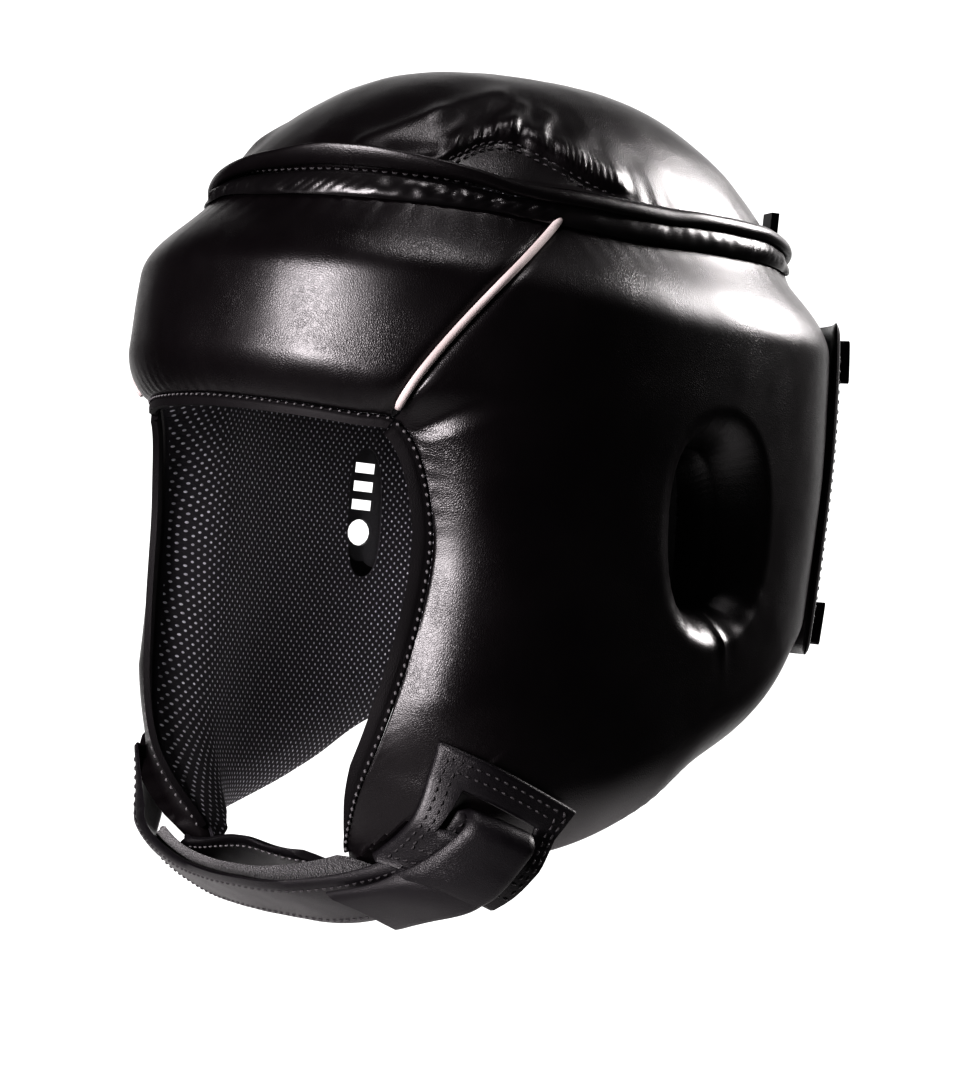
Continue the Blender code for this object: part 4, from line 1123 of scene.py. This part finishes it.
def welt():
    """Second layer under the collar, folded down as a puffed and wrinkled band to the pads' top seam."""
    angles = np.linspace(-math.pi, math.pi, 560, endpoint=False)
    flange, band = np.linspace(0, 1, 7), np.linspace(0, 1, 18)[1:]
    angle = angles[:, None]
    start = crown_radius(angle) - FLANGE_TUCK
    rim = collar_radius(angle) - WELT_INSET
    radius = start + (rim - start) * flange[None, :]
    drop = (COLLAR_THICKNESS + WELT_THICKNESS) / 2 + 2 * GAP
    high = collar_height(angle, radius) + turned_up(angle) * flange**1.4 - drop
    foot_z = top_edge(angle) - BAND_OVERLAP
    halves = (angles < 0, -1), (angles >= 0, 1)
    foot = [pad_surfaces(np.abs(angle[own]) * MIDDLE_RADIUS, foot_z[own], side)[0] for own, side in halves]
    foot = np.concatenate(foot) + BAND_THIN / 2 + GAP
    run = angle * COLLAR_RUN
    tall = high[:, -1:] - foot_z
    loose = 1 - 0.65 * unit((np.abs(np.degrees(angle)) - 50) / 20)
    wrinkles = loose * (ridges(run, 0.0062, 2.7) - 0.5)
    puff = BAND_PUFF * np.sin(math.pi * band) ** 0.7 * np.clip(tall / 0.010, 0.25, 1.2)
    radius_band = radius[:, -1:] + (foot - radius[:, -1:]) * band**1.3 + puff
    high_band = high[:, -1:] + (foot_z - high[:, -1:]) * band
    creases = 0.0006 * wrinkles * np.sin(math.pi * unit(band * 1.05))
    middle = loose * np.sin(math.pi * band)
    creases = creases + 0.0004 * (ridges(run + 0.009 * band, 0.0037, 1.3) - 0.5) * middle
    lumps = rough_at(polar(angle + 0 * band, radius_band, high_band), 0.009, 4.0)
    radius_band = radius_band + creases + 0.0016 * lumps * middle
    bands = polar(angle + 0 * band, radius_band, high_band)
    sheet = np.concatenate([polar(angle + 0 * radius, radius, high), bands], axis=1)
    normal = ring_normals(sheet)
    normal *= np.sign(normal[:, 0, 2].mean())
    half = np.full(sheet.shape[:2], BAND_THIN / 2)
    along = np.concatenate([radius[0], radius[0, -1] + band * 0.012])[None, :] + 0 * angle
    flat = np.stack([run + 0 * along, along], axis=-1)
    slab("collar_welt", sheet, normal, half, GLOSSY, "leather", flat, True)


NEAR_NARROWER = 0.33
KEEPER_TOP_SHARE = 0.82
KEEPER_FOOT_WIDER = 0.004
CREST_RAISED = 0.0030
TAIL_CURL = 0.0022
LEAN = math.radians(STRAP_TILT)
UP_STRAP = np.array([0.0, math.sin(LEAN), math.cos(LEAN)])
ALONG_STRAP = np.array([0.0, math.cos(LEAN), -math.sin(LEAN)])
CHEEK_UP = -CHEEK_SHARE * STRAP_DROP
LAYER = STRAP_THICKNESS / 2 + 2 * GAP
FOLD = STRAP_THICKNESS + KEEPER_THICKNESS + 12 * GAP
BAR_TOP = -KEEPER_TOP_DROP - KEEPER_BAND - KEEPER_SLOT_HEIGHT
CREST = BAR_TOP + CREST_RAISED
STAND_OFF = LAYER + PAD_RIM / 2
STRAP_ROWS = spline(STRAP_LINE, 8)


def cheek(up, along, offset):
    """Sideways distance of the side pad's face, set out by offset, at a place in the strap's own frame."""
    y = up * UP_STRAP[1] + along * ALONG_STRAP[1]
    z = up * UP_STRAP[2] + along * ALONG_STRAP[2]
    low, high = np.zeros_like(y), np.full_like(y, 2 * HEAD_HALF_BREADTH)
    for _ in range(24):
        middle = (low + high) / 2
        angle = np.arctan2(middle, -y)
        from_face = nearest(EDGE[FOOT : CORNER + 1], angle * MIDDLE_RADIUS, z)[0]
        full = FACE_LIFT + (PAD_THICKNESS - FACE_LIFT) * rise(from_face, FACE_ROLL, 1.5)
        reach = hollow_radius(angle, z) + LINING_THICKNESS + GAP + full + offset
        outside = np.hypot(middle, y) > reach
        low, high = np.where(outside, low, middle), np.where(outside, middle, high)
    return (low + high) / 2


def strap_frame(sideways, up, along):
    across = np.stack([sideways, 0 * up, 0 * up], axis=-1)
    return across + up[..., None] * UP_STRAP + along[..., None] * ALONG_STRAP


def near_side(up, along):
    """Sideways place of the strap's middle on its near half, which the keeper follows too."""
    rows = STRAP_ROWS[STRAP_ROWS[:, 0] >= 0]
    share = np.interp(up / STRAP_DROP, -rows[:, 1], np.minimum(rows[:, 0], 1))
    bulge = np.interp(up / STRAP_DROP, -rows[:, 1], np.maximum(rows[:, 3], 0))
    return share * cheek(np.maximum(up, CHEEK_UP), along, STAND_OFF + STRAP_BULGE * bulge)


def strap_line(width, forward, columns):
    """Middle line of the strap's first leg at shares across its width: sideways, up, along."""
    rows = STRAP_ROWS.copy()
    for _ in range(5):
        rows[1:-1, 2] = (rows[:-2, 2] + 2 * rows[1:-1, 2] + rows[2:, 2]) / 4
    up = -rows[:, 1] * STRAP_DROP
    up[-1] = CREST
    along = STRAP_FORWARD * (1 - rows[:, 2]) - forward
    slant = smooth((rows[:, 0] - 0.2) / 0.65)
    along = along[:, None] + np.linspace(0, 1, columns) * width * (1 - NEAR_NARROWER * slant[:, None])
    up = up[:, None] + 0 * along
    bulge = STAND_OFF + STRAP_BULGE * unit(rows[:, 3:4])
    face = np.clip(rows[:, :1], -1, 1) * cheek(np.maximum(up, CHEEK_UP), along, bulge)
    near = unit((rows[:, :1] - 0.55) / 0.3)
    return face + (near_side(up, along) - face) * near, up, along


def outward(sideways, up):
    """Unit normals of a line in the strap's plane, pointing away from the head."""
    d_side = np.gradient(sideways, axis=0)
    d_up = np.gradient(up, axis=0)
    size = np.hypot(d_side, d_up)
    return d_up / size, -d_side / size


def strip(name, side, up, along, thickness, material, slot, seed, edge=0.07):
    """Strip with rounded edges and a faintly uneven thickness. Returns its outer face and normals."""
    n_side, n_up = outward(side, up)
    middle = strap_frame(side, up, along)
    normal = strap_frame(n_side, n_up, 0 * n_up)
    share = np.linspace(0, 1, side.shape[1])[None, :]
    half = rounded(share, thickness / 2, edge) * (1 + 0.10 * rough_at(middle, 0.008, seed))
    run = run_of(middle[:, 0])[:, None]
    flat = np.stack([run + 0 * share, share * STRAP_WIDTH + 0 * run], axis=-1)
    return slab(name, middle, normal, half, material, slot, flat), normal


def chin_strap():
    """Outer strap: sewn to the right pad, under the chin, through the keeper and folded back to its tail."""
    columns = 15
    side, up, along = strap_line(STRAP_WIDTH, 0.0, columns)
    n_side, n_up = outward(side, up)
    mid = columns // 2
    back = run_of(np.stack([side[::-1, mid], up[::-1, mid]], axis=1))
    held = KEEPER_HEIGHT - KEEPER_BAND - KEEPER_SLOT_HEIGHT + 4 * GAP
    apart = STRAP_THICKNESS + 2 * GAP
    loose = unit((back - held) / (TAIL_LENGTH - held))
    shifts = apart + (FOLD - apart) * (1 - loose) + TAIL_CURL * loose**2
    rows = []
    for turn in np.radians((20, 45, 70, 90, 110, 135, 160)):
        swing_side = n_side[-1] * (1 - np.cos(turn)) - n_up[-1] * np.sin(turn)
        swing_up = n_up[-1] * (1 - np.cos(turn)) + n_side[-1] * np.sin(turn)
        rows.append((side[-1] + swing_side * FOLD / 2, up[-1] + swing_up * FOLD / 2, along[-1]))
    for k, shift in enumerate(shifts[back < TAIL_LENGTH]):
        at = len(side) - 1 - k
        rows.append((side[at] + n_side[at] * shift, up[at] + n_up[at] * shift, along[at]))
    whole = [np.concatenate(both) for both in zip((side, up, along), np.moveaxis(np.array(rows), 1, 0))]
    face, normal = strip("chin_strap", *whole, STRAP_THICKNESS, SOFT_BLACK, "leather", 2.0)
    for word, column in (("front", 2), ("back", -3)):
        stitches(f"strap_stitches_{word}", face[3:-2, column], normal[3:-2, column], STRAP_STITCH)


def inner_band(name, width, forward, depth, lift, thickness, reach, material, slot):
    """Layer inside the strap, depth in from its middle line and risen towards the chin in the middle."""
    side, up, along = strap_line(width, forward, 11)
    n_side, n_up = outward(side, up)
    share = side[:, 5] / side[:, 5].max()
    keep = (share > -reach) & (share < reach - BAND_CLEAR) & (up[:, 5] < CHEEK_UP * BAND_TOP)
    inward = depth + lift * unit(1 - (share / BAND_RISE_REACH) ** 2) ** 1.5
    side = side - n_side * inward[:, None]
    up = up - n_up * inward[:, None]
    return strip(name, side[keep], up[keep], along[keep], thickness, material, slot, 5.0, 0.10)


def keeper():
    """Leather frame sewn to the left pad, with the slot that the strap comes through over the lower bar."""
    top, foot = -KEEPER_TOP_DROP, -KEEPER_TOP_DROP - KEEPER_HEIGHT
    strap_width = STRAP_WIDTH * (1 - NEAR_NARROWER)
    slot_width = strap_width + KEEPER_SLOT_WIDTH - STRAP_WIDTH
    foot_width = strap_width + KEEPER_FOOT_WIDTH - STRAP_WIDTH + KEEPER_FOOT_WIDER
    rear = KEEPER_FRONT + KEEPER_TOP_WIDTH * KEEPER_TOP_SHARE
    foot_front = STRAP_FORWARD * (1 + KEEPER_FOOT_BACK) - (foot_width - strap_width) / 2
    slot_front = STRAP_FORWARD * (1 + KEEPER_SLOT_BACK) - (slot_width - strap_width) / 2
    slot_top = top - KEEPER_BAND
    rim = [(KEEPER_FRONT, top), (rear, top), (foot_front + foot_width, foot), (foot_front, foot)]
    slot = [(slot_front, slot_top), (slot_front + slot_width, slot_top)]
    slot += [(slot_front + slot_width, BAR_TOP), (slot_front, BAR_TOP)]
    share = np.arange(16)[:, None] / 16
    loops = []
    for corners in (np.array(rim), np.array(slot)):
        ends = np.roll(corners, -1, axis=0)
        loops.append(np.vstack([a + (b - a) * share for a, b in zip(corners, ends)]))
    across = np.array([0, 0.06, 0.14, 0.28, 0.42, 0.56, 0.70, 0.84, 0.94, 1.0])
    flat = loops[0][:, None] + across[None, :, None] * (loops[1] - loops[0])[:, None]
    along, up = flat[..., 0], flat[..., 1]
    lifted = unit((slot_top - up) / (slot_top - BAR_TOP))
    base = near_side(up, along)
    step = KEEPER_BAND / 3
    slope = (near_side(up + step, along) - near_side(up - step, along)) / (2 * step)
    n_side, n_up = 1 / np.hypot(1, slope), -slope / np.hypot(1, slope)
    middle_of = lifted * (STRAP_THICKNESS + 6 * GAP) - STRAP_THICKNESS / 2 - 2 * GAP + KEEPER_THICKNESS / 2
    middle = strap_frame(base + n_side * middle_of, up + n_up * middle_of, along)
    normal = strap_frame(n_side, n_up, 0 * n_up)
    half = rounded(across, KEEPER_THICKNESS / 2, 0.10) * np.ones_like(up)
    face = slab("strap_keeper", middle, normal, half, SOFT_BLACK, "leather", flat, True)
    for word, column in (("outer", 3), ("inner", 5)):
        line, ups = closed(face[:, column]), closed(normal[:, column])
        stitches(f"keeper_stitches_{word}", line, ups, KEEPER_STITCH)


def rear_patch(name, width, height, drop, base, thickness, material, slot, turn=0.0, curl=0.0, edge=0.04):
    """Panel across the back of the guard, turned round from the middle and curled out towards the left."""
    reach = HEAD_BACK + PAD_THICKNESS
    across = spread(61, 0.5) - 0.5
    tall = 0.5 - spread(33, 0.6)
    angle = math.pi - (turn + across * width) / reach
    angle, z = angle[:, None] + 0 * tall[None, :], -drop + height * tall[None, :] + 0 * across[:, None]
    lift = curl * unit(across * 2) ** 1.5
    foot = hollow_radius(angle, z) + LINING_THICKNESS + GAP + PAD_THICKNESS + base + lift[:, None]
    rim = rounded(across[:, None] + 0.5, 1, edge) * rounded(tall[None, :] + 0.5, 1, edge)
    outer = polar(angle, foot + thickness * (0.5 + 0.5 * rim), z)
    inner = polar(angle, foot + thickness * (0.5 - 0.5 * rim), z)
    flat = np.stack([across[:, None] * width + 0 * z, z], axis=-1)
    walled(name, outer, inner, False, material, slot, flat)
    return outer


def border(face, inset):
    """Closed line of points inset by grid steps from a face's edge, and normals out from the middle."""
    a = face[inset:-inset, inset]
    b = face[-inset - 1, inset:-inset]
    c = face[inset:-inset, -inset - 1][::-1]
    d = face[inset, inset:-inset][::-1]
    line = np.concatenate([a, b[1:], c[1:], d[1:]])
    out = line * (1, 1, 0)
    return line, out / np.linalg.norm(out, axis=1)[:, None]


def rear_closure():
    shape = (REAR_WIDTH, REAR_HEIGHT, REAR_DROP, 2 * GAP, REAR_THICKNESS)
    face = rear_patch("rear_base", *shape, BLACK, "leather")
    stitches("rear_stitches", *border(face, 5), EDGE_STITCH)
    top = 2 * GAP + REAR_THICKNESS + GAP
    shape = (ELASTIC_WIDTH, ELASTIC_HEIGHT, REAR_DROP, top, ELASTIC_THICKNESS)
    rear_patch("rear_elastic", *shape, ELASTIC, "elastic")
    step = (ELASTIC_HEIGHT + REAR_TAB_HEIGHT) / 2 + GAP
    turn = (ELASTIC_WIDTH - REAR_TAB_WIDTH) / 2
    for word, drop in (("top", REAR_DROP - step), ("bottom", REAR_DROP + step)):
        name = f"rear_tab_{word}"
        shape = (REAR_TAB_WIDTH, REAR_TAB_HEIGHT, drop, top, REAR_TAB_THICKNESS)
        face = rear_patch(name, *shape, SOFT_BLACK, "leather", turn, REAR_TAB_LIFT, 0.10)
        stitches(f"{name}_stitches", *border(face, 6), TAB_STITCH)


# Camera: degrees round from the front and above the horizon, and its tilt about its own axis
CAMERA_AZIMUTH = 50.0
CAMERA_ELEVATION = -1.0
CAMERA_ROLL = 6.0
CAMERA_DISTANCE = 1.5
CAMERA_LENS = 155.7
LOOK_AT = Vector((0.0044, 0.0052, -0.1276))
FLOOR_DROP = 0.070

# Strength of the surroundings before and behind the object, away from the camera's own view
FRONT_GLOW = 0.028
BACK_GLOW = 1.1


def toward(azimuth, elevation):
    a, e = math.radians(azimuth), math.radians(elevation)
    return Vector((math.sin(a) * math.cos(e), -math.cos(a) * math.cos(e), math.sin(e)))


def camera():
    data = bpy.data.cameras.new("photo_camera")
    made = linked("photo_camera", data)
    back = toward(CAMERA_AZIMUTH, CAMERA_ELEVATION)
    turned = back.to_track_quat("Z", "Y").to_matrix() @ Matrix.Rotation(math.radians(CAMERA_ROLL), 3, "Z")
    made.matrix_world = Matrix.Translation(LOOK_AT + back * CAMERA_DISTANCE) @ turned.to_4x4()
    data.sensor_width = 36
    data.lens = CAMERA_LENS
    bpy.context.scene.camera = made


def softbox(name, azimuth, elevation, distance, width, height, watts, colour):
    data = bpy.data.lights.new(name, "AREA")
    data.shape = "ELLIPSE"
    data.size = width
    data.size_y = height
    data.energy = watts
    data.color = colour
    made = linked(name, data)
    way = toward(azimuth, elevation)
    turned = way.to_track_quat("Z", "Y").to_matrix().to_4x4()
    made.matrix_world = Matrix.Translation(LOOK_AT + way * distance) @ turned


def studio():
    softbox("front_softbox", 3.0, 6.5, 2.0, 0.84, 0.86, 62.0, (1.0, 0.94, 0.965))
    softbox("rim_softbox", 172.0, 34.0, 2.0, 0.90, 0.90, 50.0, (1.0, 0.96, 0.96))
    softbox("top_softbox", 40.0, 74.0, 1.8, 0.34, 0.34, 8.0, (1.0, 0.95, 0.965))
    g = Graph("studio", bpy.data.worlds)
    bpy.context.scene.world = g.owner
    way = g.add("ShaderNodeTexCoord").outputs["Generated"]
    ahead = {0: way, 1: toward(CAMERA_AZIMUTH + 180, 6)}
    dot = g.add("ShaderNodeVectorMath", ahead, operation="DOT_PRODUCT").outputs["Value"]
    reach = {"Value": dot, 1: 0.78, 2: 1.0, 3: FRONT_GLOW, 4: BACK_GLOW}
    fade = g.add("ShaderNodeMapRange", reach, interpolation_type="SMOOTHSTEP").outputs[0]
    lit = g.add("ShaderNodeBackground", {"Color": (1.0, 0.985, 0.98, 1.0), "Strength": fade})
    plain = g.add("ShaderNodeBackground", {"Color": (1.0, 1.0, 1.0, 1.0), "Strength": 1.0})
    seen = g.add("ShaderNodeLightPath").outputs["Is Camera Ray"]
    g.show(g.add("ShaderNodeMixShader", {0: seen, 1: lit.outputs[0], 2: plain.outputs[0]}).outputs[0])
    bpy.context.scene.view_settings.view_transform = "Standard"
    bpy.context.scene.view_settings.look = "High Contrast"


def floor():
    """Pale floor that fades into the backdrop."""
    g = Graph("pale_floor")
    away = g.add("ShaderNodeVectorMath", {0: g.place()}, operation="LENGTH").outputs["Value"]
    g.set(Base_Color=(0.80, 0.80, 0.80, 1.0), Roughness=0.8)
    clear = g.add("ShaderNodeBsdfTransparent").outputs[0]
    both = g.add("ShaderNodeMixShader", {0: g.ramp(away, 0.14, 0.40), 1: g.shader.outputs[0], 2: clear})
    g.show(both.outputs[0])
    shape = bmesh.new()
    bmesh.ops.create_circle(shape, cap_ends=True, radius=0.42, segments=96)
    mesh = bpy.data.meshes.new("floor")
    shape.to_mesh(mesh)
    shape.free()
    mesh.materials.append(g.owner)
    made = linked("floor", mesh)
    made.location = (0.0, 0.0, CAD_BOX[0].z - FLOOR_DROP)


def kept_nodes():
    """CAD nodes that are shown as they are, with a finer material."""
    finish = {"ear_grille_left": PLASTIC, "ear_grille_right": PLASTIC, "crown_tab": SOFT_BLACK}
    for name, material in finish.items():
        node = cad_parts[name]
        node.data.materials.clear()
        node.data.materials.append(material)


def main():
    camera()
    studio()
    floor()
    kept_nodes()
    forehead()
    brow_binding()
    for side, word in ((1, "left"), (-1, "right")):
        side_pad(side, word)
        side_lining(side, word)
        face_binding(side, word)
        piping(side, word)
    crown()
    collar()
    welt()
    chin_strap()
    loop_depth = (STRAP_THICKNESS + LOOP_THICKNESS) / 2 + 3 * GAP
    loop = ("chin_loop_band", LOOP_WIDTH, LOOP_FORWARD, loop_depth, 0.0)
    inner_band(*loop, LOOP_THICKNESS, LOOP_REACH, LOOPS, "loop_tape")
    band_depth = loop_depth + (LOOP_THICKNESS + BAND_THICKNESS) / 2 + GAP
    band = ("chin_band", BAND_WIDTH, BAND_FORWARD, band_depth, BAND_RISE)
    face, normal = inner_band(*band, BAND_THICKNESS, BAND_REACH, SOFT_BLACK, "leather")
    stitches("chin_band_stitches", face[1:-1, 2], normal[1:-1, 2], BAND_STITCH)
    keeper()
    rear_closure()


main()
